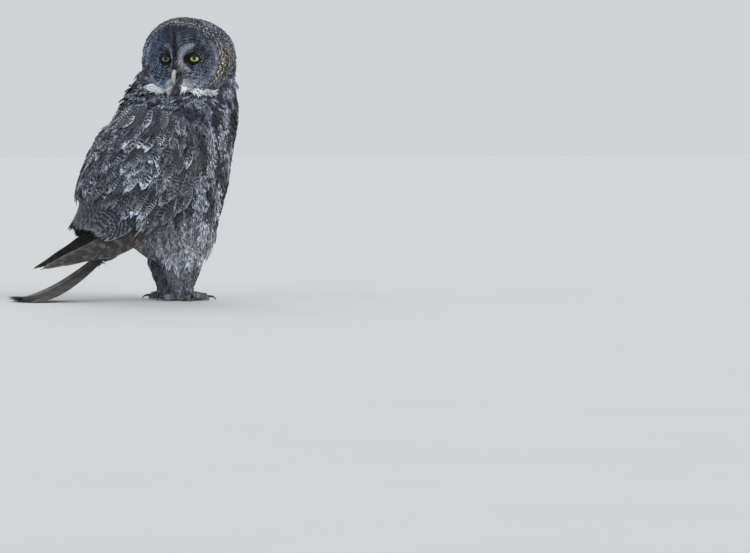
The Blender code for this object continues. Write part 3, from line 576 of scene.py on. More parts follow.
def vanes(line, out, width, shape, lift, columns, ragged, camber, roll):
    """Feather surfaces from their middle lines. Returns places, and shares along and across."""
    count, stations = line.shape[:2]
    t = np.linspace(0, 1, stations)
    along = unit(np.gradient(line, axis=1))
    side = unit(np.cross(along, out))
    side = unit(side + out * np.broadcast_to(roll, (count,))[:, None, None])
    half = width.reshape(count, -1) * outline(t, *shape)[None, :] / 2
    lift = np.broadcast_to(lift.reshape(count, -1), (count, stations))
    a = np.linspace(-1, 1, columns + 1)[None, None, :, None]
    step = np.linalg.norm(line[:, 1] - line[:, 0], axis=1)
    barb = rng.standard_normal((count, 1, columns + 1)) * ragged
    fray = barb * (t[None, :, None] ** 3) * step[:, None, None] * stations * 0.2
    place = line[:, :, None, :] + side[:, :, None, :] * (half[:, :, None, None] * a)
    place = place + along[:, :, None, :] * fray[..., None]
    drop = camber * half[:, :, None, None] * a**2
    place = place + out[:, :, None, :] * (lift[:, :, None, None] - drop)
    shares = (np.broadcast_to(x, (count, stations, columns + 1)) for x in (t[None, :, None], a[..., 0]))
    return place, *shares


def project(direction, normal):
    """A direction laid flat on a surface."""
    return unit(direction - normal * (direction * normal).sum(-1, keepdims=True))


def ripple(p, size, seed):
    """Smooth uneven values from -1 to 1 over places, with patches of about the given size."""
    source = np.random.default_rng(seed)
    total = 0
    for _ in range(5):
        way = source.standard_normal(3)
        way = way / np.linalg.norm(way) * source.uniform(0.7, 1.5)
        total = total + np.sin(p @ way * (2 * math.pi / (size * 2.2)) + source.uniform(0, 6.3))
    return np.clip(total / 2.6, -1, 1)


def mottled(colour, p, size, seed, depth=0.3):
    """A colour at each place, lighter and darker in patches."""
    return np.array(colour) * (1 + depth * ripple(p, size, seed)[:, None])


# Markings

RING_PITCH = 5.2  # millimetres between the rings round each eye
RING_DARK, RING_PALE = (0.008, 0.011, 0.018), (0.300, 0.355, 0.460)
CRESCENT_TONE, MOUSTACHE_TONE, BIB_TONE = (0.50, 0.56, 0.68), (0.64, 0.68, 0.77), (0.88, 0.90, 0.95)
# Curves on one half of the face: out and up from its middle, then half width, in millimetres
CRESCENT = [
    (30, 27.5, 3.6), (20.5, 24.5, 4.7), (14.0, 17.8, 4.4), (10.4, 9.2, 3.6), (9.2, 1, 3.0), (10.6, -7, 3.2),
    (15.5, -15, 4.0), (23, -20.0, 3.2),
]
BIB = [(9, -53.5, 2.6), (18, -59, 3.6), (31, -63.0, 4.0), (47, -61.5, 4.4), (61, -56.0, 4.0), (70, -49, 2.6)]


def near_line(x, z, rows, edge=(0.75, 1.3)):
    """1 near a line through rows, falling to 0 between the two edges, which are shares of its half width."""
    best = np.zeros(np.shape(x))
    for (x0, z0, w0), (x1, z1, w1) in zip(rows, rows[1:]):
        dx, dz = x1 - x0, z1 - z0
        s = np.clip(((x - x0) * dx + (z - z0) * dz) / (dx * dx + dz * dz), 0, 1)
        far = np.hypot(x - x0 - s * dx, z - z0 - s * dz) / (w0 + s * (w1 - w0))
        best = np.maximum(best, 1 - smooth(*edge, far))
    return best


def face_tone(h):
    """Colour of the face at places in the head's frame, with painted shade over the owl's right half."""
    x, z = h[..., 0] * 1000, h[..., 2] * 1000
    ax, from_eye, over_eye = np.abs(x), np.abs(x) - EYE_OUT * 1000, z - EYE_UP * 1000
    r = np.hypot(from_eye, over_eye)
    turn = np.arctan2(over_eye, from_eye)
    uneven, dots = ripple(h, 0.007, 3), ripple(h, 0.0030, 9)
    sway = 0.9 * np.sin(5 * turn + 0.07 * x) + 0.05 * z + 1.3 * ripple(h, 0.014, 8)
    wave = 0.5 + 0.5 * np.cos(2 * math.pi * (r - 14) / RING_PITCH + sway)
    strength = (smooth(60, 46, r) * 0.7 + 0.3) * (0.72 + 0.5 * smooth(18, -30, z))
    ring = smooth(0.40, 0.80, wave + 0.34 * uneven + 0.46 * dots) * (1 + 0.30 * ripple(h, 0.011, 14))
    tone = mix(RING_DARK, RING_PALE, np.clip(ring * strength + 0.04, 0, 1))
    tone = mix(tone, (0.095, 0.110, 0.145), 0.10 + 0.30 * smooth(44, 60, r))
    cheek = smooth(-14, -34, z) * smooth(58, 44, ax) * smooth(0.05, 0.45, dots + 0.4 * uneven)
    # The pale cheek is weaker on the owl's right half (x < 0): painted shade.
    tone = mix(tone, (0.42, 0.46, 0.55), cheek * np.where(x > 0, 0.80, 0.35))
    arc = np.exp(-(((disc_share(h[..., 0], h[..., 2]) - 0.940) / 0.042) ** 2)) * smooth(46, 14, z)
    tone = mix(tone, (0.50, 0.55, 0.65), np.clip(arc * (0.72 + 0.3 * uneven + 0.35 * dots), 0, 1))
    tone = mix(tone, DARK, 0.75 * smooth(15.5, 12.5, r))
    tone = mix(tone, BLACK, 0.85 * smooth(7.0, 3.0, ax) * smooth(-26, -18, z) * smooth(70, 40, z))
    # Painted shade: the owl's right half of the face is dimmed and tinted blue.
    tone = tone * mix((1.0, 1.0, 1.0), (0.80, 0.88, 0.99), smooth(4, -14, x))
    # The crescent is a little dimmer on the owl's right half: painted shade.
    crescent = near_line(ax, z, CRESCENT, (0.15, 1.65)) * np.where(x > 0, 1.0, 0.9)
    crescent = crescent * (0.68 + 0.26 * smooth(3, 18, np.abs(z - 2)) + 0.16 * uneven + 0.16 * dots)
    tone = mix(tone, CRESCENT_TONE, np.clip(crescent, 0, 1))
    tuft = np.hypot((ax - 20 + 0.25 * (z + 47)) / 15.5, (z + 47) / 11.5)
    tone = mix(tone, MOUSTACHE_TONE, smooth(1.1, 0.7, tuft) * (0.72 + 0.2 * uneven + 0.1 * dots))
    lore = smooth(13.5, 7.5, ax) * smooth(-20, -27, z) * smooth(-50, -44, z)
    tone = mix(tone, (0.085, 0.092, 0.110), 0.85 * lore * (0.8 + 0.3 * dots))
    tone = mix(tone, BIB_TONE, near_line(ax, z, BIB))
    tone = mix(tone, (0.040, 0.043, 0.052), 0.95 * smooth(9, 6.5, ax) * smooth(-48, -51, z))
    lid = np.hypot((from_eye + 0.8) / 15.8, (over_eye + 0.4) / 11.2)
    return mix(tone, BLACK, smooth(1.06, 0.92, lid))


def head_paint(p):
    """Tone and bars of the crown, nape and cheeks."""
    x, forward, _ = head_parts(p)
    near_rim = smooth(0.004, 0.020, forward) * smooth(0.03, 0.06, np.abs(x)) * 0.25
    tone = mix((0.014, 0.018, 0.026), (0.024, 0.023, 0.024), near_rim)
    bar = mix((0.41, 0.47, 0.575), (0.42, 0.42, 0.42), near_rim)
    uneven, spots = ripple(p, 0.02, 5)[:, None], ripple(p, 0.0075, 15)[:, None]
    return tone * (1 + 0.3 * uneven), bar * np.clip(0.85 + 0.3 * uneven + 0.45 * spots, 0.15, 1.5)


def body_paint(p, normal):
    """Tone and bars of the trunk: pale and streaked in front, darker at the sides and behind."""
    low = smooth(0.20, 0.13, p[:, 2])
    blotch, patch = ripple(p * (1, 1, 0.42), 0.0115, 11), ripple(p * (1, 1, 0.6), 0.035, 12)
    tone = mix((0.25, 0.29, 0.37), (0.58, 0.625, 0.71), smooth(0.0, 0.75, -normal[:, 1]))
    tone = mix(tone, (0.32, 0.37, 0.47), smooth(0.335, 0.385, p[:, 2]) * 0.6)
    tone = mix(tone, (0.54, 0.575, 0.64), low)
    dark = np.clip(smooth(-0.02, 0.26, blotch) + 0.5 * smooth(0.2, 0.7, patch), 0, 1) * (1 - 0.45 * low)
    bar = mix((0.016, 0.019, 0.027), (0.080, 0.088, 0.106), low)
    return mix(tone, (0.020, 0.024, 0.034), 0.92 * dark), bar


# Photograph places, in pixels, where a pale patch shows on the folded wing, each with its size
PALE_SPOTS = [
    (171, 117, 6), (168, 123, 5), (148, 153, 5), (141, 166, 5), (133, 178, 6), (131, 186, 5), (193, 158, 5),
    (178, 168, 4), (170, 180, 6), (170, 190, 5), (159, 188, 5), (198, 172, 4), (190, 185, 5),
]
# Photograph places where the coverts are made darker and browner, at the wrist and over the primaries
DARK_SPOTS = [(202, 162, 7), (196, 171, 8), (189, 180, 7), (172, 204, 7), (163, 207, 7)]
PHOTO_WIDTH, PHOTO_HEIGHT = 750, 553
PIXEL = 0.0019  # metres to a pixel of the photograph
PIXEL_ORIGIN = (160, 300)  # the pixel where the shapes' own origin lies


def near_spots(p, spots):
    """How much a place on either wing lies in one of the photograph's patches."""
    across = PIXEL_ORIGIN[0] + (0.342 * np.abs(p[..., 0]) - 0.94 * p[..., 1]) / PIXEL
    down = PIXEL_ORIGIN[1] - p[..., 2] / PIXEL
    best = np.zeros(across.shape)
    for x, y, size in spots:
        best = np.maximum(best, np.exp(-(((across - x) ** 2 + (down - y) ** 2) / size**2)))
    return best


# Materials


class Value:
    """An output in a material. The usual signs add the nodes for a sum, a difference or a product."""

    def __init__(self, nodes, socket):
        self.nodes, self.socket = nodes, socket

    def __add__(self, other):
        return self.nodes.math("ADD", self, other)

    def __sub__(self, other):
        return self.nodes.math("SUBTRACT", self, other)

    def __rsub__(self, other):
        return self.nodes.math("SUBTRACT", other, self)

    def __mul__(self, other):
        return self.nodes.math("MULTIPLY", self, other)


class Nodes:
    """Short ways to add nodes to one material."""

    def __init__(self, name):
        self.material = bpy.data.materials.new(name)
        self.material.use_nodes = True
        self.tree = self.material.node_tree
        self.shader = self.tree.nodes["Principled BSDF"]
        self.place = self.value("TexCoord", output="Object")

    def feed(self, socket, value):
        if isinstance(value, Value):
            self.tree.links.new(value.socket, socket)
        else:
            socket.default_value = value

    def add(self, kind, inputs, **settings):
        """A node whose inputs, by name or number, are given numbers or other nodes' values."""
        node = self.tree.nodes.new("ShaderNode" + kind)
        for key, value in settings.items():
            setattr(node, key, value)
        for key, value in dict(inputs).items():
            self.feed(node.inputs[key], value)
        return node

    def value(self, kind, inputs=(), output=0, **settings):
        return Value(self, self.add(kind, inputs, **settings).outputs[output])

    def math(self, operation, *values):
        return self.value("Math", dict(enumerate(values)), operation=operation)

    def wave(self, turns):
        return self.math("SINE", turns * (2 * math.pi))

    def most(self, *values):
        return self.math("MAXIMUM", *values)

    def span(self, value, low, high, to_low=0.0, to_high=1.0):
        """to_low at low, to_high at high, and an even curve between."""
        inputs = {"Value": value, "From Min": low, "From Max": high, "To Min": to_low, "To Max": to_high}
        return self.value("MapRange", inputs, interpolation_type="SMOOTHSTEP")

    def blend(self, factor, a, b, kind="MIX"):
        a, b = (c if isinstance(c, Value) else (*c, 1.0) for c in (a, b))
        return self.value("Mix", {0: factor, 6: a, 7: b}, 2, data_type="RGBA", blend_type=kind)

    def dim(self, colour, shade):
        """A colour times a number."""
        grey = self.value("CombineColor", {k: shade for k in range(3)})
        return self.blend(1.0, colour, grey, "MULTIPLY")

    def noise(self, scale, detail=3.0, place=None):
        inputs = {"Scale": scale, "Detail": detail, "Roughness": 0.55, "Vector": place or self.place}
        return self.value("TexNoise", inputs)

    def attribute(self, name, output="Color"):
        return self.value("Attribute", output=output, attribute_name=name)

    def parts(self, vector):
        """The three numbers of a vector."""
        return [Value(self, socket) for socket in self.add("SeparateXYZ", {0: vector}).outputs]

    def bump(self, height, strength, distance):
        inputs = {"Strength": strength, "Distance": distance, "Height": height}
        self.feed(self.shader.inputs["Normal"], self.value("Bump", inputs))

    def finish(self, colour, roughness, **settings):
        for key, value in {"Base_Color": colour, "Roughness": roughness, **settings}.items():
            self.feed(self.shader.inputs[key.replace("_", " ")], value)
        return self.material


def plumage(name, barbs, contrast, rough, wobble=1.3, patchy=0.0, web=0.0, crisp=(-0.05, 0.55), tip=0.80):
    """Feathers: their tone crossed by broken bars, a streak or pale edges, with fine barbs.

    patchy fades the bars in places, web fades them on the half under the next feather, and the pale edge of
    the end starts at tip.
    """
    n = Nodes(name)
    across, along, _ = n.parts(n.value("UVMap", uv_map="Feather"))
    count, start, streaked = n.parts(n.attribute("Marks", "Vector"))
    off = n.math("ABSOLUTE", across * 2.0 - 1.0)
    coarse, fine = n.noise(170.0, 2.0) - 0.5, n.noise(620.0, 2.0)
    turns = count * along + start + coarse * wobble - off * off * 0.35
    bars = n.span(n.wave(turns), *crisp) * n.span(across, 0.42, 0.66, 1.0, 1 - web) * n.span(count, 0.2, 0.6)
    bars = bars * (n.attribute("Bar", "Alpha") * (n.span(fine, 0.40, 0.60) - 1.0) + 1.0)
    bars = bars * n.span(off * 0.16 + n.noise(75.0, 2.0), 0.50, 0.68, 1 - patchy, 1.0)
    streak = n.span(coarse * 0.7 + off, 0.50, 0.16) * streaked * n.span(along, 0.05, 0.35)
    rim = n.span(coarse * (1.5 * (1 - tip)) + along, tip, 0.7 + 0.3 * tip)
    edge = n.most(n.span(coarse * 0.35 + off, 0.70, 0.92), rim) * n.attribute("Tone", "Alpha")
    edge = edge * n.span(n.noise(130.0, 2.0), 0.40, 0.60, 1 - patchy, 1.0)
    colour = n.blend(n.most(n.most(bars, streak), edge), n.attribute("Tone"), n.attribute("Bar"))
    lines = n.wave(along * barbs - off * (barbs * 0.22) + coarse * 1.2)
    shade = (lines * contrast + 1.0) * (n.noise(55.0, 2.0) * 0.7 + 0.65) * (fine * 0.5 + 0.75)
    n.bump(lines * 0.5 + fine, 0.35, 0.0006)
    gloss = {"Specular_IOR_Level": 0.22, "Sheen_Weight": 0.08, "Sheen_Roughness": 0.6}
    return n.finish(n.dim(colour, shade), fine * 0.25 + rough, **gloss)


def shaded_underfur():
    """The skin's short down, painted darker than the feathers over it as shade in the gaps between them."""
    n = Nodes("down")
    fine = n.noise(900.0, 4.0)
    n.bump(fine, 0.6, 0.0008)
    # The down's tone is dimmed to about half: painted shade in the gaps between the feathers.
    colour = n.dim(n.attribute("Tone"), (fine * 0.5 + 0.25) * (n.noise(80.0) * 0.6 + 0.6))
    return n.finish(colour, fine * 0.15 + 0.8, Specular_IOR_Level=0.1)


def eye_material(name, iris, inner):
    """A wet eye: black pupil, streaked iris with a dark outer rim, and a clear coat."""
    n = Nodes(name)
    gaze = n.attribute("Gaze", "Vector")
    far = n.value("VectorMath", {0: gaze}, "Value", operation="LENGTH")
    spokes = n.noise(9.0, 3.0, n.value("VectorMath", {0: gaze}, operation="NORMALIZE"))
    flecks = n.noise(30.0, 2.0, gaze)
    uneven = (spokes - 0.5) * 0.05 + far
    colour = n.dim(n.blend(n.span(uneven, 0.30, 0.58), inner, iris), spokes * 0.7 + (flecks * 0.4 + 0.45))
    colour = n.blend(n.span(uneven, 0.70, 0.78), colour, (0.012, 0.010, 0.008))
    colour = n.blend(n.span(far, 0.285, 0.262), colour, (0.002, 0.002, 0.002))
    gloss = {"Specular_IOR_Level": 0.05, "Coat_Weight": 1.0, "Coat_Roughness": 0.015, "Coat_IOR": 1.28}
    return n.finish(colour, flecks * 0.1 + 0.12, **gloss)


def horn_material(name, tip, root, rough, low=0.05, high=0.55):
    """Bill or claw: its tone runs from root to tip, with faint growth lines."""
    n = Nodes(name)
    along, height, _ = n.parts(n.attribute("Marks", "Vector"))
    fine = n.noise(450.0, 4.0)
    lines = n.math("SINE", along * 90.0 + fine * 6.0)
    # A bill is paler along its ridge and darker at the sides and underneath: partly the bill's own marks, partly
    # painted shade.
    colour = n.blend(n.span((fine - 0.5) * 0.35 + along + height * 0.30, low, high), root, tip)
    n.bump(lines * 0.3 + fine, 0.12, 0.0003)
    colour = n.dim(colour, lines * 0.05 + (n.noise(160.0) * 0.5 + 0.72))
    return n.finish(colour, fine * 0.2 + rough, Specular_IOR_Level=0.5)


def bare_skin_material():
    """Black skin of the eyelids."""
    n = Nodes("lid_skin")
    fine = n.noise(1400.0, 4.0)
    n.bump(fine, 0.5, 0.0004)
    colour = n.blend(fine, (0.004, 0.004, 0.005), (0.020, 0.020, 0.023))
    return n.finish(colour, fine * 0.3 + 0.35, Specular_IOR_Level=0.4)


def floor_material():
    n = Nodes("floor")
    colour = n.blend(n.noise(3.0, 2.0), (0.505, 0.513, 0.523), (0.529, 0.538, 0.548))
    return n.finish(colour, n.noise(40.0) * 0.1 + 0.75, Specular_IOR_Level=0.2)


SOFT = plumage("soft_feather", 16.0, 0.10, 0.68)
COVERT = plumage("covert_feather", 34.0, 0.10, 0.60, 0.80, 0.62, 0.60, (0.20, 0.60))
FLIGHT = plumage("flight_feather", 90.0, 0.09, 0.52, 0.75, 0.60, 0.30, (0.30, 0.80), 0.94)
# Painted shade under the coat: the skin and the wings' cores are dimmed by this material.
SHADED_DOWN = shaded_underfur()
LID = bare_skin_material()

# Coat


def feather_mesh(name, vane, patch, paint, thick=0.0):
    """One mesh of many feathers. patch gives each one's place and their size on the bake map.

    paint is the tone, the bars' colour and the marks of each feather or point.
    """
    place, t, a = vane
    count, stations, columns = shape = t.shape
    place[..., 2] = np.maximum(place[..., 2], FLOOR_GAP)
    index = np.arange(t.size).reshape(shape)
    corners = [index[:, :-1, :-1], index[:, :-1, 1:], index[:, 1:, 1:], index[:, 1:, :-1]]
    quads = np.stack(corners, axis=-1).reshape(-1, 4)
    points = place.reshape(-1, 3)
    fields = []
    for x in paint:
        x = x if x.ndim == 4 else x[:, None, None, :]
        fields.append(np.broadcast_to(x, (*shape, x.shape[-1])).reshape(-1, x.shape[-1]))
    bake = (patch[0][:, None, None, :] + patch[1] * np.stack([a / 2, t - 0.5], axis=-1)).reshape(-1, 2)
    fields += [bake, np.stack([a.ravel() / 2 + 0.5, t.ravel()], axis=1)]
    if thick:
        shift = len(points)
        down = unit(np.cross(np.gradient(place, axis=1), np.gradient(place, axis=2))).reshape(-1, 3)
        points = np.concatenate([points, points + down * thick])
        points[:, 2] = np.maximum(points[:, 2], FLOOR_GAP)
        bands = []
        for rim in (index[:, :, 0], index[:, -1, :], index[:, ::-1, -1], index[:, 0, ::-1]):
            band = [rim[:, 1:], rim[:, :-1], rim[:, :-1] + shift, rim[:, 1:] + shift]
            bands.append(np.stack(band, axis=-1).reshape(-1, 4))
        quads = np.concatenate([quads, quads[:, ::-1] + shift, *bands])
        fields = [np.concatenate([x, x]) for x in fields]
    tone, bar, marks, *maps = fields
    mesh = bpy.data.meshes.new(name)
    mesh.vertices.add(len(points))
    mesh.vertices.foreach_set("co", points.astype(np.float32).ravel())
    mesh.loops.add(quads.size)
    mesh.loops.foreach_set("vertex_index", quads.astype(np.int32).ravel())
    mesh.polygons.add(len(quads))
    mesh.polygons.foreach_set("loop_start", np.arange(0, quads.size, 4, dtype=np.int32))
    for label, values in zip(("OFBake", "Feather"), maps):
        layer = mesh.uv_layers.new(name=label)
        layer.data.foreach_set("uv", values[quads.ravel()].astype(np.float32).ravel())
    keep_values(mesh, Tone=tone, Bar=bar, Marks=marks)
    mesh.update()
    return mesh


def grow(name, skin, roots, lie, size, lift, paint, look=SOFT, grid=(5, 4), hug=1.0, spread=0.14, shape=LENS):
    """Feathers from roots on the skin. size is their length and width, lift their height at root and tip."""
    count = len(roots["place"])
    lie = project(lie + spread * rng.standard_normal((count, 3)), roots["normal"])
    length, width = (measure * (1 + 0.2 * rng.uniform(-1, 1, count)) for measure in size)
    line, out = spines(skin, roots, lie, length, hug, grid[0])
    top = (lift[1] * rng.uniform(0.7, 1.1, count))[:, None]
    low = np.broadcast_to(lift[0], count)[:, None]
    rise = low + (top - low) * np.linspace(0, 1, grid[0] + 1) ** 0.8
    twist = rng.normal(0, 0.16, count)
    vane = vanes(line, out, width, shape, rise, grid[1], 0.7, 0.16, twist)
    mesh = feather_mesh(name, vane, (roots["uv"], PATCH), paint(vane[0], roots))
    return link(name, mesh, look, "grey_coat")


def with_fourth(colour, fourth):
    """Colours with a fourth value."""
    fourth = np.broadcast_to(fourth, colour.shape[:-1])
    return np.concatenate([colour, fourth[..., None]], axis=-1)


def marked(bars, starts, streak=0.0):
    """Each feather's count of bars, where they start and how strongly it is streaked."""
    return np.stack(np.broadcast_arrays(bars, starts, streak), axis=1)


def flat_paint(tone, bar, broken=0.0, bars=0.0, streak=0.0, vary=0.16):
    """A paint that gives each feather one tone and one set of marks, a little unlike its neighbour's."""

    def paint(place, roots):
        light = 1 + vary * rng.standard_normal((len(place), 1)).clip(-2, 2)
        marks = marked(bars, rng.random(len(place)), streak)
        return with_fourth(tone * light, 0.0), with_fourth(bar * light, broken), marks

    return paint


# Wings, mantle and tail

FLIP = np.array([-1.0, 1.0, 1.0])  # from the right wing to the left
COVERT_DARK = (0.015, 0.018, 0.025)
COVERT_BAR = (0.50, 0.56, 0.67)
BAR_PITCH = 0.0062
# Rows of coverts: span of the roots, length in spans, count, width, angles of first and last, the tips' lift
COVERT_ROWS = [
    (0.06, 0.62, 21, 0.017, -31, 78, -0.0030),
    (0.28, 0.60, 21, 0.018, -32, 76, -0.0010),
    (0.52, 0.64, 20, 0.019, -32, 72, 0.0006),
    (0.78, 0.70, 18, 0.020, -31, 68, 0.0014),
    (1.04, 0.74, 17, 0.022, -30, 66, 0.0016),
    (1.32, 0.78, 15, 0.023, -29, 66, 0.0018),
    (1.60, 0.82, 15, 0.024, -28, 66, 0.0020),
    (1.90, 0.90, 13, 0.025, -25, 66, 0.0022),
    (2.22, 1.00, 12, 0.026, -20, 66, 0.0024),
    (2.56, 1.02, 12, 0.027, -6, 66, 0.0026),
]
# Quills: count, first and last root and first and last tip as span and angle, and width
SECONDARIES = (16, ((2.50, 0), (2.75, 78)), ((4.60, 16), (4.98, 72)), 0.025)
TERTIALS = (13, ((2.60, 54), (2.60, 126)), ((4.95, 62), (4.95, 118)), 0.030)
PRIMARY_COVERTS = (7, ((2.20, -22), (2.40, 2)), ((3.55, -14), (3.75, 8)), 0.019)
PRIMARIES = (9, ((2.60, -17), (2.90, 6)), ((5.00, -6), (6.92, 30)), 0.021)
# The same with lift at root and tip, stations, dark and pale tone, count of bars and the pale edge's strength
QUILLS = [
    ("secondaries", SECONDARIES, (-0.008, -0.0002), 30, (0.018, 0.020, 0.025), (0.175, 0.195, 0.235), 12, 1),
    ("primaries", PRIMARIES, (-0.010, -0.0030), 36, (0.034, 0.032, 0.031), (0.134, 0.123, 0.114), 9, 1),
    ("primary_coverts", PRIMARY_COVERTS, (-0.009, -0.0005), 16, (0.022, 0.02, 0.02), (0.11, 0.11, 0.12), 6, 0.4),
    ("tertials", TERTIALS, (-0.0060, 0.0005), 24, (0.018, 0.020, 0.025), (0.150, 0.168, 0.205), 11, 0.8),
]
QUILL_ROLL = -0.085
TIP_SWAY, TIP_SWAY_STEP = 0.05, 5.1  # how the tips of quills lie unevenly, in spans and radians to a feather
# How coverts and quills are made, as settings of lay
AS_COVERT = {"look": COVERT, "shape": BROAD, "columns": 8, "thick": 0.0004, "ragged": 0.5}
AS_QUILL = {"look": FLIGHT, "shape": BLADE, "columns": 10, "thick": 0.0006, "ragged": 0.12}
MANTLE_ROWS = 13


def wing_surface(span, angle):
    """A place on the right wing's surface. The angle turns from the side to the back."""
    span, angle = np.broadcast_arrays(np.asarray(span, float), np.asarray(angle, float))
    rows = numbered(WING_AXIS)
    y, z, side, back = np.moveaxis(through(rows, span), -1, 0)
    ahead = through(rows, np.minimum(span + 0.05, WING_LAST)) - through(rows, np.maximum(span - 0.05, 0))
    dy, dz = ahead[..., 0], ahead[..., 1]
    size, turn = np.hypot(dy, dz), np.radians(angle)
    behind = back * np.sin(turn)
    return np.stack([-side * np.cos(turn), y - dz / size * behind, z + dy / size * behind], axis=-1)


def wing_point(span, angle, lift):
    """Places over the right wing and the way out of it there."""
    here = wing_surface(span, angle)
    ahead, behind = np.minimum(span + 0.05, WING_LAST), np.maximum(span - 0.05, 0)
    along = wing_surface(ahead, angle) - wing_surface(behind, angle)
    round_it = wing_surface(span, angle + 2) - wing_surface(span, angle - 2)
    out = unit(np.cross(along, round_it))
    inside = (wing_surface(span, 0) + wing_surface(span, 180)) / 2
    out = out * np.sign((out * (here - inside)).sum(-1, keepdims=True))
    return here + out * np.asarray(lift)[..., None], out


def wing_lines(roots, tips, lifts, rows):
    """Middle lines over the wing from roots to tips, each (count, 2) of span and angle."""
    t = np.linspace(0, 1, rows + 1)[None, :]
    span, angle = (roots[:, k : k + 1] + (tips[:, k : k + 1] - roots[:, k : k + 1]) * t for k in (0, 1))
    low, high = (np.broadcast_to(lift, len(roots))[:, None] for lift in lifts)
    return wing_point(span, angle, low + (high - low) * t**0.6)


def lay(
    name, line, out, width, roll, paint, mirror=False, *, look, shape, columns, thick, ragged, camber=0.14
):
    """Feathers along given lines, as one piece, with separate patches on the bake map."""
    count = len(line)
    if mirror:
        line, out, roll = line * FLIP, out * FLIP, -np.asarray(roll)
    vane = vanes(line, out, width, shape, np.zeros(count), columns, ragged, camber, roll)
    across = math.ceil(math.sqrt(count))
    k = np.arange(count)
    patch = np.stack([(k % across + 0.5) / across, (k // across + 0.5) / across], axis=1), 0.86 / across
    return link(name, feather_mesh(name, vane, patch, paint, thick), look, "flight_feather")


def covert_paint(line):
    """Dark coverts crossed by evenly spaced pale bars, paler and browner in patches."""
    count = len(line)
    bars = np.linalg.norm(np.diff(line, axis=1), axis=2).sum(axis=1) / BAR_PITCH
    pale = near_spots(line[:, -2], PALE_SPOTS) * rng.uniform(0.6, 1.1, count)
    pale = pale * smooth(0.15, 0.18, line[:, -1, 2])
    brown = near_spots(line[:, -3], DARK_SPOTS)
    tone = mix(np.array(COVERT_DARK) * rng.uniform(0.65, 1.45, (count, 1)), (0.070, 0.080, 0.100), pale)
    patch = np.clip(0.72 + 0.65 * ripple(line[:, -3], 0.011, 31), 0.10, 1.4)[:, None]
    bar = mix(np.array(COVERT_BAR) * patch * rng.uniform(0.45, 1.30, (count, 1)), (0.66, 0.70, 0.77), pale)
    tone, bar = mix(tone, (0.020, 0.017, 0.016), brown), mix(bar, (0.085, 0.078, 0.076), brown)
    greater = smooth(0.215, 0.170, line[:, -2, 2]) * (line[:, -2, 1] < 0.12)
    edge = np.clip(rng.normal(0.55, 0.35, count) + 0.6 * pale + 0.4 * greater, 0, 1)
    marks = marked(bars * rng.uniform(0.75, 1.2, count), rng.random(count))
    return with_fourth(tone, edge), with_fourth(bar, 0.45 - 0.3 * pale), marks


def lay_coverts(name, rows, root_reach, depth, uneven, roll, mirror=False):
    """Coverts from rows of their roots, tips, widths and lifts, rooted deeper near the shoulder."""
    roots, tips, widths, lifts = (np.concatenate(x) for x in zip(*rows))
    deep = depth - 0.010 * smooth(root_reach, 0.0, roots[:, 0])
    line, out = wing_lines(roots, tips, (deep, lifts + rng.normal(0, uneven, len(roots))), 12)
    paint = covert_paint(line * FLIP if mirror else line)
    lay(name, line, out, widths, rng.normal(*roll, len(roots)), paint, mirror, **AS_COVERT)


def make_coverts(side, name):
    rows = []
    for span, length, count, width, first, last, lift in COVERT_ROWS:
        angle = first + (last - first) * (np.arange(count) + rng.uniform(-0.25, 0.25, count)) / (count - 1)
        start = span + rng.uniform(-0.05, 0.05, count)
        tips = start + length * rng.uniform(0.88, 1.12, count), angle + rng.normal(0, 1.6, count)
        ends = np.stack([start, angle], axis=1), np.stack(tips, axis=1)
        rows.append((*ends, np.full(count, width), np.full(count, lift)))
    lay_coverts(name, rows, 0.75, -0.007, 0.0008, (-0.08, 0.05), side > 0)


def make_mantle():
    """Rows of scapulars and back feathers over the meeting of the wings."""
    rows = []
    for k in range(MANTLE_ROWS):
        span = 0.03 + (MANTLE_REACH[1] - 0.98) * k / (MANTLE_ROWS - 1)
        half, count = (33, 13) if k < 9 else (26, 10)
        angle = 90 + half * (2 * (np.arange(count) + rng.uniform(-0.25, 0.25, count)) / (count - 1) - 1)
        start = span + rng.uniform(-0.06, 0.06, count)
        length = (0.62 + 0.035 * k) * rng.uniform(0.9, 1.12, count)
        tips = start + length, angle + (angle - 90) * 0.10
        ends = np.stack([start, angle], axis=1), np.stack(tips, axis=1)
        lift = 0.0024 - 0.001 * np.abs(angle - 90) / half - 0.004 * (k == 0)
        rows.append((*ends, np.full(count, 0.021 + 0.0006 * k), lift))
    lay_coverts("scapulars", rows, 0.60, -0.006, 0.0009, (0.0, 0.07))


def quill_line(group, lifts, rows):
    """Evenly spread feathers between a first and a last one."""
    count, roots, tips, width = group
    k = np.arange(count)
    share = (k / (count - 1))[:, None]
    roots, tips = (np.array(a, float) + np.subtract(b, a, dtype=float) * share for a, b in (roots, tips))
    tips[:, 0] += TIP_SWAY * np.sin(TIP_SWAY_STEP * k)
    tips[:, 1] += rng.normal(0, 0.7, count)
    return *wing_lines(roots, tips, lifts, rows), np.full(count, width)


def make_quills(side, label):
    """Secondaries, primaries and their coverts of one wing, and the tertials of both with the right one."""
    for name, group, lifts, rows, dark, pale, bars, edge in QUILLS[: 3 if side > 0 else 4]:
        line, out, width = quill_line(group, lifts, rows)
        count = len(line)
        light = rng.uniform(0.85, 1.2, (count, 1))
        marks = marked(bars * rng.uniform(0.95, 1.05, count), rng.random(count))
        paint = with_fourth(np.array(dark) * light, edge), with_fourth(np.array(pale) * light, 0.35), marks
        lay(f"{name}_{label}", line, out, width, QUILL_ROLL, paint, side > 0, **AS_QUILL)


def wing_edges(span):
    return np.moveaxis(through(numbered(WING_EDGES), span), -1, 0)[..., None]


def mantle_edges(span):
    return 80.5, 99.5


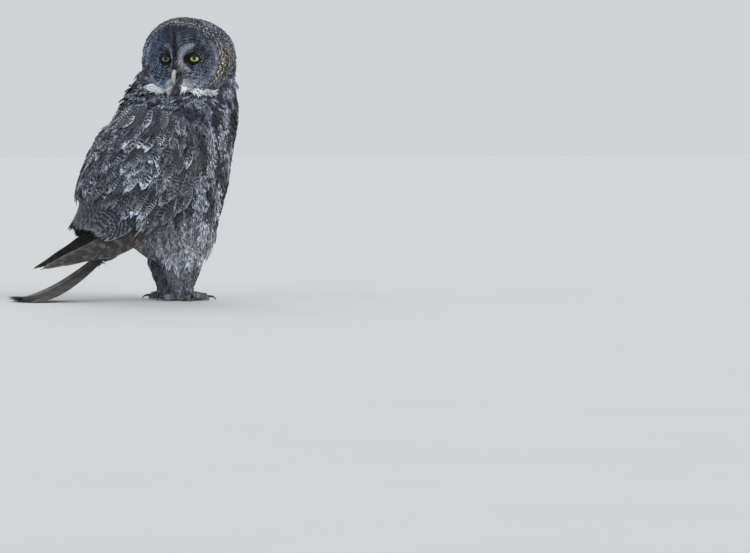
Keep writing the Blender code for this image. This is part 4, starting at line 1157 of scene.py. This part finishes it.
def shell_mesh(spans, edges, outer, depth, steps=24):
    """A closed shell under the feathers, on the right wing's surface."""
    span = np.linspace(*spans, steps + 1)
    share, k = np.linspace(0, 1, steps + 1)[None, :], np.linspace(0, 1, steps + 1)[:, None]
    front, back = edges(span)
    angle = front + (back - front) * share + 0 * k
    rim = np.minimum(np.minimum(share, 1 - share), np.minimum(k * 1.5, (1 - k) * 1.5))
    round_off = 0.006 * (1 - np.minimum(1, rim * 6)) ** 2
    deep = through(depth, span) + 0 * angle
    span = span[:, None] + 0 * angle
    skins = wing_point(span, angle, outer - round_off)[0], wing_point(span, angle, -deep)[0]
    across, half = steps + 1, (steps + 1) ** 2
    faces = []
    for a in (i * across + j for i in range(steps) for j in range(steps)):
        faces.append((a, a + 1, a + across + 1, a + across))
        faces.append((half + a, half + a + across, half + a + across + 1, half + a + 1))
    index = np.arange(half).reshape(across, across)
    edge = [*index[0, :-1], *index[:-1, -1], *index[-1, :0:-1], *index[:0:-1, 0]]
    faces += [(a, b, half + b, half + a) for a, b in zip(edge, edge[1:] + edge[:1])]
    return closed_mesh(np.concatenate([skin.reshape(-1, 3) for skin in skins]), faces)


def toned(mesh, tone):
    """Keeps one tone, or one for each point, with no marks."""
    values = with_fourth(np.broadcast_to(tone, (len(mesh.vertices), 3)), 1.0)
    keep_values(mesh, Tone=values, Bar=values, Marks=0 * values[:, :3])


def make_core(node, spans, edges, outer, mirror=False):
    """The firm shell under a wing's or the mantle's feathers, in place of its node."""
    mesh = shell_mesh(spans, edges, outer, CORE_DEPTH)
    if mirror:
        mesh.transform(Matrix.Diagonal((-1, 1, 1, 1)))
        mesh.flip_normals()
    toned(mesh, COVERT_DARK)
    unwrap(mesh)
    # The shell is dimmed like the skin: painted shade under the feathers.
    return link(node + "_core", mesh, SHADED_DOWN, "flight_feather", (node,))


def tail_height(share):
    return TAIL_ROOT[1] * np.maximum(0.0, 1 - share / TAIL_LANDING) ** 1.5


def tail_lines(rows):
    """Middle lines of the tail feathers from the outermost on one side to the other."""
    half = (TAIL_FEATHERS - 1) / 2
    place = ((np.arange(TAIL_FEATHERS) - half) / half)[:, None]
    turn = TAIL_FAN * place
    share = np.linspace(0, 1, rows + 1)[None, :] * (1 - 0.07 * place**2)
    far = TAIL_RUN * share
    stack = TAIL_STACK * half * (1 - np.abs(place))
    z = tail_height(share) + stack * np.minimum(1, 0.25 + share) + 0.0012
    rise = np.arctan2(tail_height(share) - tail_height(share + 0.02), TAIL_RUN * 0.02)
    line = np.stack([far * np.sin(turn) + place * 0.012, TAIL_ROOT[0] + far * np.cos(turn), z], axis=-1)
    out = np.stack([np.sin(turn) * np.sin(rise), np.cos(turn) * np.sin(rise), np.cos(rise)], axis=-1)
    return line, out, place[:, 0]


def make_tail():
    line, out, place = tail_lines(40)
    count = len(line)
    light = rng.uniform(0.9, 1.12, (count, 1))
    tone = with_fourth(np.array((0.022, 0.020, 0.019)) * light, 0.5)
    bar = with_fourth(np.array((0.100, 0.092, 0.086)) * light, 0.55)
    paint = tone, bar, marked(10.0, rng.random(count) * 0.35)
    width = np.full(count, TAIL_FEATHER_WIDTH)
    made = {**AS_QUILL, "columns": 12, "camber": 0.03}
    tail = lay("tail_feathers", line, out, width, -0.03 * place, paint, **made)
    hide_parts("tail")


# Regions of the skin


def on_face(p):
    x, forward, z = head_parts(p)
    return (forward > 0.010) & (disc_share(x, z) < 1.01)


def on_head(p):
    x, forward, z = head_parts(p)
    size = np.hypot(np.hypot(x / 0.092, forward / 0.092), z / 0.080)
    return (size < 1.02) & ~on_face(p)


def on_rim(p):
    x, forward, z = head_parts(p)
    out = disc_share(x, z)
    return (out > 0.955) & (out < 1.11) & (forward > 0) & (forward < 0.06) & (np.abs(z) < 0.085)


def on_throat(p):
    x, forward, z = head_parts(p)
    curve = near_line(np.abs(x) * 1000, z * 1000 - 1.5, BIB)
    chin = (np.abs(x) < 0.009) & (z < -0.054) & (z > -0.062)
    return ((curve > 0.5) | chin) & (forward > 0.006) & (forward < 0.045) & (x > -0.061) & (x < 0.057)


def on_foot(p):
    return p[:, 2] < FOOT_TOP


def on_leg(p):
    far = np.hypot(np.abs(p[:, 0]) - FOOT_APART, (p[:, 1] - FOOT_Y) / 1.1)
    return (p[:, 2] < 0.092) & (far < 0.040) & ~on_foot(p)


def on_rump(p):
    return (p[:, 1] > 0.052) & (p[:, 2] < 0.215) & (np.abs(p[:, 0]) < 0.070)


def cover_tree(cores):
    """The wings' and mantle's cores as one body to look for."""
    points, faces = [], []
    for core in cores:
        start = len(points)
        points += [v.co[:] for v in core.data.vertices]
        faces += [[start + i for i in f.vertices] for f in core.data.polygons]
    return BVHTree.FromPolygons(points, faces)


def level(roots):
    """The level way out of the skin at each root."""
    return unit(roots["normal"] * (1, 1, 0))


def covered(roots, covers):
    """Whether a wing or the mantle lies close over each place."""
    rays = ((Vector(a), Vector(b)) for a, b in zip(roots["place"], roots["normal"]))
    return np.array([covers.ray_cast(a + b * 0.002, b, 0.016)[0] is not None for a, b in rays])


# Coat of each part


def head_way(*parts):
    """Unit ways from the head's own axes, each part a number or one for each place."""
    return unit(np.stack(np.broadcast_arrays(*parts), axis=1)) @ HEAD_AXES.T


def face_lie(x, z):
    """Outwards from the nearest eye, but up and out along the ridge and down and out beside the bill."""
    side, none = np.where(x < 0, -1.0, 1.0), 0 * x
    away = unit(np.stack([x - side * EYE_OUT, none, z - EYE_UP], axis=1))
    up = unit(np.stack([side * 0.45, none, none + 1], axis=1))
    away = unit(mix(away, up, smooth(0.020, 0.008, np.abs(x)) * smooth(-0.012, 0.002, z)))
    down = unit(np.stack([x * 22, none, none - 1], axis=1))
    away = unit(mix(away, down, smooth(0.042, 0.022, np.abs(x)) * smooth(-0.016, -0.026, z)))
    return away @ HEAD_AXES.T


def face_paint(place, roots):
    light = 1 + 0.19 * rng.standard_normal((len(place), 1, 1, 1)).clip(-2, 2)
    tone = with_fourth(face_tone(to_head(place)) * light, 0.0)
    return tone, tone, np.zeros((len(place), 3))


def grow_face(skin):
    roots = skin.scatter(0.0019, on_face)
    x, _, z = head_parts(roots["place"])
    beside_bill = np.hypot(x, np.clip(np.abs(z + 0.024) - 0.016, 0, 1))
    bare = (eye_distance(x, z) <= 0.0098) | (beside_bill <= 0.0036)
    roots, x, z = keep(roots, ~bare), x[~bare], z[~bare]
    near = smooth(0.026, 0.012, eye_distance(x, z))
    size = (0.0085 - 0.0035 * near, 0.0031 - 0.0010 * near)
    lift = (0.0030 * near, 0.0034 + 0.0030 * near)
    made = {"grid": (4, 2), "spread": 0.16, "shape": TUFT}
    grow("coat_face", skin, roots, face_lie(x, z), size, lift, face_paint, **made)


def rim_paint(p):
    """A thin brown-black ring, then speckled buff and grey. On the owl's right the buff is fainter and the lower
    side is a darker bluish grey: painted shade.
    """
    x, _, z = head_parts(p)
    dark = np.exp(-(((disc_share(x, z) - 1.020) / 0.024) ** 2)) * np.where(x > 0, 1.0, 0.6)
    # Little buff on the owl's right: painted shade.
    low = smooth(0.045, 0.000, z) * smooth(-0.052, -0.035, z) * np.where(x > 0, 1.0, 0.15)
    pale = mix((0.36, 0.41, 0.50), (0.62, 0.57, 0.47), low)
    # Darker bluish grey low on the owl's right: painted shade.
    pale = mix(pale, (0.19, 0.225, 0.295), smooth(-0.055, -0.072, x) * smooth(0.02, -0.01, z))
    return mix((0.020, 0.023, 0.030), (0.026, 0.018, 0.015), dark), mix(pale, (0.048, 0.037, 0.032), dark)


def grow_rim(skin):
    """The ring of stiff feathers round the disc, laid outwards and back."""
    roots = skin.scatter(0.0024, on_rim)
    x, _, z = head_parts(roots["place"])
    low = smooth(0.030, -0.010, z) * smooth(-0.045, -0.062, x)
    lie = head_way(x, 0.030 * (1 - low), 1.2 * z * (1 - low) - 0.10 * low)
    paint = flat_paint(*rim_paint(roots["place"]), 0.45, 2.2)
    size = (0.0125 + 0.0070 * low, 0.0048 + 0.0010 * low)
    made = {"grid": (5, 3), "hug": 1 - 0.35 * low, "spread": 0.12}
    grow("coat_ruff", skin, roots, lie, size, (0.001, 0.0068), paint, **made)


def grow_throat(skin):
    """White moustache-like locks under the disc, to each side of a dark chin."""
    roots = skin.scatter(0.0017, on_throat)
    x, _, _ = head_parts(roots["place"])
    ax = np.abs(x)
    white, wide = smooth(0.0070, 0.0100, ax), smooth(0.030, 0.045, ax)
    tone = mix(mottled((0.050, 0.054, 0.065), roots["place"], 0.004, 21, 0.6), BIB_TONE, white)
    size = (0.0080 + 0.0034 * white * smooth(0.006, 0.022, ax), 0.0034 + 0.0008 * wide)
    lift = (0.0010 + 0.0040 * white + 0.0015 * wide, 0.0050 + 0.0075 * white + 0.0025 * wide)
    lie, paint = head_way(x * 22, -0.45, -0.9), flat_paint(tone, tone, vary=0.07)
    grow("coat_throat", skin, roots, lie, size, lift, paint, grid=(5, 3), spread=0.12, shape=TUFT)


NAPE_LEVEL = 0.026  # where the nape's coat takes over from the crown's, below the skull's centre
BREAST_TOP, BELLY_TOP = 0.335, 0.185


def grow_head(skin):
    """Crown and cheeks, then the nape, which turns into the body's coat."""
    tracts = [
        ("coat_head", 1, 0.0035, (0.0145, 0.0066), 1.0, (1.0, -0.40), 0.0),
        ("coat_nape", -1, 0.0042, (0.0260, 0.0095), 0.65, (0.6, -1.2), 0.5),
    ]
    for name, part, spacing, (length, width), hug, way, streak in tracts:

        def wanted(p, part=part):
            return on_head(p) & ~on_throat(p) & ((head_parts(p)[2] + NAPE_LEVEL) * part > 0)

        roots = skin.scatter(spacing, wanted)
        _, _, z = head_parts(roots["place"])
        nape, low = smooth(-0.018, -0.046, z), smooth(0.012, -0.026, z)
        paints = zip(head_paint(roots["place"]), body_paint(roots["place"], roots["normal"]))
        paint = flat_paint(*(mix(head, body, nape) for head, body in paints), 0.55, 2.4, streak)
        size = (length + 0.006 * low * (part > 0), width)
        lift = (0.0, 0.0050 + 0.0026 * low)
        grow(name, skin, roots, head_way(0 * z, *way), size, lift, paint, hug=hug, spread=0.16)


def body_roots(skin, spacing, wanted, covers):
    roots = skin.scatter(spacing, lambda p: wanted(p) & ~on_face(p) & ~on_head(p) & ~on_leg(p) & ~on_foot(p))
    return keep(roots, ~covered(roots, covers))


def grow_body(skin, covers):
    """Neck, breast and belly, each a tract between two heights."""
    tracts = [
        ("coat_neck", (BREAST_TOP, 1.0), on_throat, 0.0046, (0.0200, 0.0100), 0.0082, 2.2, 0.5, 0.95),
        ("coat_breast", (BELLY_TOP, BREAST_TOP), on_rump, 0.0054, (0.0230, 0.0125), 0.0090, 2.2, 0.6, 0.95),
        ("coat_belly", (0.0, BELLY_TOP), on_rump, 0.0052, (0.0260, 0.0120), 0.0095, 2.6, 0.45, 0.75),
    ]
    for name, (low, high), bare, spacing, size, lift, bars, streak, hug in tracts:

        def wanted(p, low=low, high=high, bare=bare):
            return (p[:, 2] > low) & (p[:, 2] <= high) & ~bare(p)

        roots = body_roots(skin, spacing, wanted, covers)
        p, normal = roots["place"], roots["normal"]
        lie = np.array((0.0, 0.10, -1.0)) + level(roots) * 0.25 * (normal[:, 2:] < -0.6)
        paint = flat_paint(*body_paint(p, normal), 0.5, bars, streak, vary=0.22)
        behind = smooth(0.2, 0.6, normal[:, 1])
        fluff = behind * np.exp(-(((p[:, 2] - 0.402) / 0.016) ** 2))
        tips = lift - 0.0046 * smooth(0.375, 0.412, p[:, 2]) * (1 - behind) + 0.0085 * fluff
        grow(name, skin, roots, lie, size, (0.004 * fluff, tips), paint, grid=(6, 4), hug=hug, spread=0.17)


def grow_fringe(skin, covers):
    """Loose hanging tufts at the lower edge of the belly."""

    def wanted(p):
        return (p[:, 2] < 0.135) & (p[:, 2] > 0.088) & (p[:, 1] < 0.02)

    roots = body_roots(skin, 0.0080, wanted, covers)
    tone, bar = body_paint(roots["place"], roots["normal"])
    lie = -np.array(UP) + level(roots) * 0.12
    paint = flat_paint(tone * 1.05, bar, 0.3, 0.0, 0.55, vary=0.2)
    grow("coat_fringe", skin, roots, lie, (0.036, 0.0115), (0.001, 0.008), paint, grid=(7, 4), hug=0.3)


def grow_legs(skin):
    roots = skin.scatter(0.0042, on_leg)
    tone = mottled((0.235, 0.255, 0.300), roots["place"], 0.012, 4)
    paint = flat_paint(tone, np.array((0.060, 0.064, 0.074)), 0.5, 2.0, 0.25, vary=0.2)
    lie = -np.array(UP) + level(roots) * 0.08
    made = {"grid": (6, 4), "hug": 0.85, "spread": 0.17}
    grow("coat_legs", skin, roots, lie, (0.0200, 0.0070), (0.0, 0.0072), paint, **made)
    roots = skin.scatter(0.0026, on_foot)
    roots = keep(roots, roots["normal"][:, 2] > -0.55)
    p = roots["place"]
    tone = mottled((0.225, 0.240, 0.275), p, 0.010, 6)
    paint = flat_paint(tone, np.array((0.065, 0.066, 0.074)), 0.5, 1.6, 0.0, vary=0.2)
    from_middle = np.stack([p[:, 0] - np.sign(p[:, 0]) * FOOT_APART, p[:, 1] - FOOT_Y, 0 * p[:, 2]], axis=1)
    lie = unit(from_middle) + np.array((0, 0, -0.25))
    grow("coat_feet", skin, roots, lie, (0.0082, 0.0036), (0.0, 0.0030), paint, grid=(4, 3), spread=0.2)


def grow_tail_coverts(skin):
    """Soft coverts over and under the tail's root, laid along it."""
    roots = skin.scatter(0.0062, on_rump)
    p = roots["place"]
    above = smooth(-0.35, 0.2, roots["normal"][:, 2])
    tone = mix((0.25, 0.27, 0.315), (0.040, 0.041, 0.046), above)
    bar = mix((0.05, 0.053, 0.062), (0.20, 0.21, 0.24), above)
    paint = flat_paint(tone, bar, 0.6, 4.0, vary=0.2)
    lie = np.stack([p[:, 0] * 1.5, 1 + 0 * p[:, 0], -0.45 - 0.55 * smooth(0.10, 0.06, p[:, 1])], axis=1)
    made = {"grid": (8, 6), "hug": 0.55, "spread": 0.08, "shape": BROAD}
    grow("coat_rump", skin, roots, lie, (0.036, 0.0165), (0.0, 0.0075), paint, COVERT, **made)


# Eyes, lids, bill and claws


def eye_matrix(side):
    """From an eye's own frame, which looks along -Y, to the whole."""
    here = Matrix.Translation((side * EYE_OUT, -EYE_FORWARD, EYE_UP))
    return HEAD_MATRIX @ here @ Matrix.Rotation(GAZE_TURNS[side], 4, "Z")


def put(name, mesh, matrix, *made_of, **settings):
    """A piece made in another frame, unwrapped and then moved to its place."""
    unwrap(mesh)
    mesh.transform(matrix)
    link(name, mesh, *made_of, **settings)


def make_eye(side, name, iris, inner):
    rings = []
    for ring in ball(Vector(), 1.0, 48, 64):
        bulge = 0.11 * max(0.0, 1 - (math.hypot(ring[0].x, ring[0].z) / 0.78) ** 2) if ring[0].y < 0 else 0.0
        rings.append([Vector((p.x, p.y - bulge, p.z)) * EYE_RADIUS for p in ring])
    mesh = loft(rings)
    places = read(mesh.vertices, "co", 3) / EYE_RADIUS
    behind = np.where(places[:, 1] > 0, 2.0, 0.0)
    keep_values(mesh, Gaze=np.stack([places[:, 0] + behind, places[:, 2], 0 * behind], axis=1))
    wet = eye_material(name + "_wet", iris, inner)
    put(name + "_ball", mesh, eye_matrix(side), wet, "yellow_iris", (name,))


def make_lids(side, name):
    """A ring of bare skin that closes over the eye's edge, its upper lid lower than a round opening's."""
    globe = EYE_RADIUS * 1000 * 1.02
    wall = globe * 0.86  # past this the lids leave the globe
    rings = []
    for share in np.linspace(0, 1, 15):
        ring = []
        for c, s in circle(72):
            height = LID_TOP if s > 0 else LID_BOTTOM
            opening = (abs(c / LID_WIDTH) ** 2.3 + abs(s / height) ** 2.3) ** (-1 / 2.3)
            far = opening + (LID_REACH - opening) * share**1.15
            fold = 0.35 * math.sin(share * math.pi * 4) * (1 - share)
            lip = 1.35 * math.sin(math.pi * min(1.0, share * 2.4 + 0.12)) * (1 - share * 0.7)
            front = math.sqrt(globe**2 - min(far, wall) ** 2) - max(far - wall, 0.0) * 1.1
            bulge = 1.3 * max(0.0, 1 - (far / 9.2) ** 2)
            ring.append(Vector((far * c, -(front + bulge + lip + fold), far * s)) / 1000)
        rings.append(ring)
    inner = [[Vector((p.x * 1.02, p.y + 0.0016, p.z * 1.02)) for p in ring] for ring in rings[2::-1]]
    put(name + "_lids", loft(inner + rings, False), eye_matrix(side), LID, "black_horn")


def mark_horn(mesh, steps, sides, ridged):
    """Keeps each point's share along a horn, and its height round the slice where that is ridged."""
    share = np.concatenate([np.repeat(np.linspace(0, 1, steps), sides), [0, 1]])
    ridge = np.concatenate([np.tile([s for _, s in circle(sides)], steps), [0, 1]]) if ridged else share
    keep_values(mesh, Marks=np.stack([share, ridge, share], axis=1))
    return mesh


def horn_mesh(stations, sides=28, steps=36):
    """A curved beak half through smoothed slices."""
    middle = through(numbered(stations), np.linspace(0, len(stations) - 1, steps))
    rings = []
    for k, (forward, up, half_width, half_depth) in enumerate(middle):
        before, after = middle[max(k - 1, 0)], middle[min(k + 1, steps - 1)]
        along = Vector((0, -(after[0] - before[0]), after[1] - before[1])).normalized()
        deep = along.cross(Vector((1, 0, 0))).normalized()
        ring = []
        for c, s in circle(sides):
            x = half_width * math.copysign(abs(c) ** 1.12, c)
            ring.append(Vector((x, -forward, up)) + deep * (half_depth * s))
        rings.append(ring)
    return mark_horn(loft(rings), steps, sides, True)


def make_bill():
    pale = horn_material("bill_horn", (0.44, 0.435, 0.385), (0.060, 0.060, 0.062), 0.32, 0.25, 0.62)
    dull = horn_material("bill_horn_lower", (0.16, 0.155, 0.14), (0.040, 0.040, 0.040), 0.40, 0.3, 0.9)
    for name, stations, horn in (("bill_upper", BILL_UPPER, pale), ("bill_lower", BILL_LOWER, dull)):
        put(name + "_horn", horn_mesh(stations), HEAD_MATRIX, horn, "pale_horn", (name,))
    for side, label in SIDES:
        mesh = loft(ball(Vector((side * NOSTRIL[0], -NOSTRIL[1], NOSTRIL[2])), 0.0015, 10, 16))
        put("nostril_" + label, mesh, HEAD_MATRIX, LID, "black_horn", smooth_faces=False)


BRISTLES = 900


def make_bristles(skin):
    """Fine bristles that lie from the lores over the root of the bill."""
    count = BRISTLES
    x = rng.choice([-1.0, 1.0], count) * rng.uniform(0.0, 0.0125, count)
    z = rng.uniform(-0.034, 0.002, count)
    z = np.where(np.abs(x) < 0.0036, np.maximum(z, -0.0190), z)
    roots = skin.nearest(from_head(np.stack([x, -face_front(x, z) + FACE_COAT, z], axis=1)))
    pale = smooth(0.005, 0.0085, np.abs(x)) * smooth(-0.020, -0.008, z)
    tone = mix((0.020, 0.022, 0.027), (0.30, 0.32, 0.37), pale)
    tone = mix(tone, (0.120, 0.128, 0.150), smooth(-0.019, -0.026, z)) * rng.uniform(0.5, 1.5, (count, 1))
    made = {"grid": (5, 2), "hug": 0.25, "spread": 0.25, "shape": TUFT}
    lie = head_way(-x * 20, -0.55, -0.95)
    grow("coat_bristles", skin, roots, lie, (0.0115, 0.0018), (0.001, 0.0046), flat_paint(tone, tone), **made)


def talon_rings(side, turn, length, steps, sides):
    along, across = toe_axes(turn, side)
    start = foot_middle(side) + along * (length - 0.003)
    rings = []
    for share in np.linspace(0, 1, steps):
        bend = TALON_CURVE * share
        middle = start + along * ((TALON_LENGTH + 0.003) / TALON_CURVE * math.sin(bend))
        middle.z = 0.0072 + 0.0035 * math.sin(math.pi * share * 0.55) - 0.0098 * share**2
        radius = 0.0032 * (1 - 0.88 * share)
        upright = across.cross((along * math.cos(bend) - UP * math.sin(bend)).normalized())
        ring = hoop(middle, across * (0.86 * radius), upright * radius, sides)
        rings.append([Vector((p.x, p.y, max(p.z, 0.0003))) for p in ring])
    return rings


def make_talons():
    horn = horn_material("claw_horn", (0.006, 0.006, 0.007), (0.030, 0.028, 0.027), 0.25)
    for side, label in SIDES:
        for turn, length, toe in TOES:
            mesh = mark_horn(loft(talon_rings(side, turn, length, 19, 16)), 19, 16, False)
            unwrap(mesh)
            link(f"claw_{label}_{toe}", mesh, horn, "black_horn", (f"talon_{label}_{toe}",))


def make_skin():
    """The skin piece, with the coat's own markings under the feathers, dimmed as painted shade."""
    mesh = make_skin_mesh()
    unwrap(mesh)
    p = read(mesh.vertices, "co", 3)
    tone = body_paint(p, read(mesh.vertices, "normal", 3))[0]
    head, face = on_head(p), on_face(p)
    tone[head] = head_paint(p[head])[0] * 1.6
    tone[face] = face_tone(to_head(p[face]))
    tone[on_leg(p) | on_foot(p)] = (0.15, 0.16, 0.185)
    toned(mesh, tone)
    nodes = ("torso", "neck", "head", "leg_left", "leg_right", "foot_left", "foot_right")
    link("skin", mesh, SHADED_DOWN, "grey_coat", nodes)
    return Skin(mesh)


# Camera, floor and light

CAMERA_DISTANCE = 8.0
CAMERA_RISE = math.radians(2.0)
FRAME_WIDTH = PHOTO_WIDTH * PIXEL
FRAME_MIDDLE = ((PHOTO_WIDTH / 2 - PIXEL_ORIGIN[0]) * PIXEL, (PIXEL_ORIGIN[1] - PHOTO_HEIGHT / 2) * PIXEL)
# The photograph's line of sight, made level, and the picture's right
VIEW = Vector((0.93974, -0.34189, 0.0))
VIEW_RIGHT = Vector((-0.34189, -0.93974, 0.0))
# Soft suns: where each shines from as right, towards the camera and up, then spread, strength and colour
LAMPS = [
    ((0.9, 0.9, 1.2), 35, 1.35, (1.0, 0.965, 0.92)),
    ((-1.2, 0.8, 0.6), 60, 0.50, (0.80, 0.90, 1.0)),
    ((-0.2, -1.2, 1.0), 40, 0.85, (1.0, 0.97, 0.94)),
    ((-0.45, 1.6, 0.75), 5, 0.22, (1.0, 1.0, 1.0)),
]
SKY = (0.86, 0.88, 0.90)
SKY_STRENGTH = 0.74


def aim(thing, look):
    """Turns a camera or lamp to look a given way."""
    thing.rotation_mode = "QUATERNION"
    thing.rotation_quaternion = look.to_track_quat("-Z", "Y")


def make_camera():
    data = bpy.data.cameras.new("camera")
    data.sensor_width = 36.0
    data.lens = 36.0 * CAMERA_DISTANCE / FRAME_WIDTH
    data.clip_end = 100.0
    camera = linked("camera", data)
    look = VIEW * math.cos(CAMERA_RISE) - UP * math.sin(CAMERA_RISE)
    camera.location = VIEW_RIGHT * FRAME_MIDDLE[0] + UP * FRAME_MIDDLE[1] + OFFSET - look * CAMERA_DISTANCE
    aim(camera, look)
    bpy.context.scene.camera = camera


def make_floor():
    mesh = raw_mesh([(-40, -40, 0), (40, -40, 0), (40, 40, 0), (-40, 40, 0)], [(0, 1, 2, 3)])
    mesh.materials.append(floor_material())
    linked("floor", mesh)


def make_lamps():
    for k, ((right, near, up), spread, power, colour) in enumerate(LAMPS):
        data = bpy.data.lights.new(f"lamp_{k}", "SUN")
        data.angle, data.energy, data.color = math.radians(spread), power, colour
        lamp = linked(f"lamp_{k}", data)
        lamp.location = VIEW_RIGHT * right - VIEW * near + UP * up
        aim(lamp, -lamp.location)
    world = bpy.data.worlds.new("world")
    world.use_nodes = True
    background = world.node_tree.nodes["Background"]
    background.inputs[0].default_value = (*SKY, 1.0)
    background.inputs[1].default_value = SKY_STRENGTH
    bpy.context.scene.world = world
    bpy.context.scene.view_settings.view_transform = "Standard"


def main():
    make_camera()
    skin = make_skin()
    covers = cover_tree([
        make_core("wing_right", WING_REACH, wing_edges, WING_CORE_TOP),
        make_core("wing_left", WING_REACH, wing_edges, WING_CORE_TOP, mirror=True),
        make_core("mantle", MANTLE_REACH, mantle_edges, MANTLE_CORE_TOP),
    ])
    grow_face(skin)
    grow_rim(skin)
    grow_throat(skin)
    grow_head(skin)
    grow_body(skin, covers)
    grow_fringe(skin, covers)
    grow_legs(skin)
    grow_tail_coverts(skin)
    for side, label in SIDES:
        make_coverts(side, "coverts_" + label)
        make_quills(side, label)
    make_mantle()
    make_tail()
    make_eye(1, "eye_left", (0.66, 0.68, 0.26), (0.34, 0.38, 0.11))
    # The owl's right iris is dimmer and greyer than the left: painted shade.
    make_eye(-1, "eye_right", (0.26, 0.28, 0.19), (0.14, 0.16, 0.10))
    make_lids(1, "eye_left")
    make_lids(-1, "eye_right")
    make_bill()
    make_bristles(skin)
    make_talons()
    make_floor()
    make_lamps()


main()
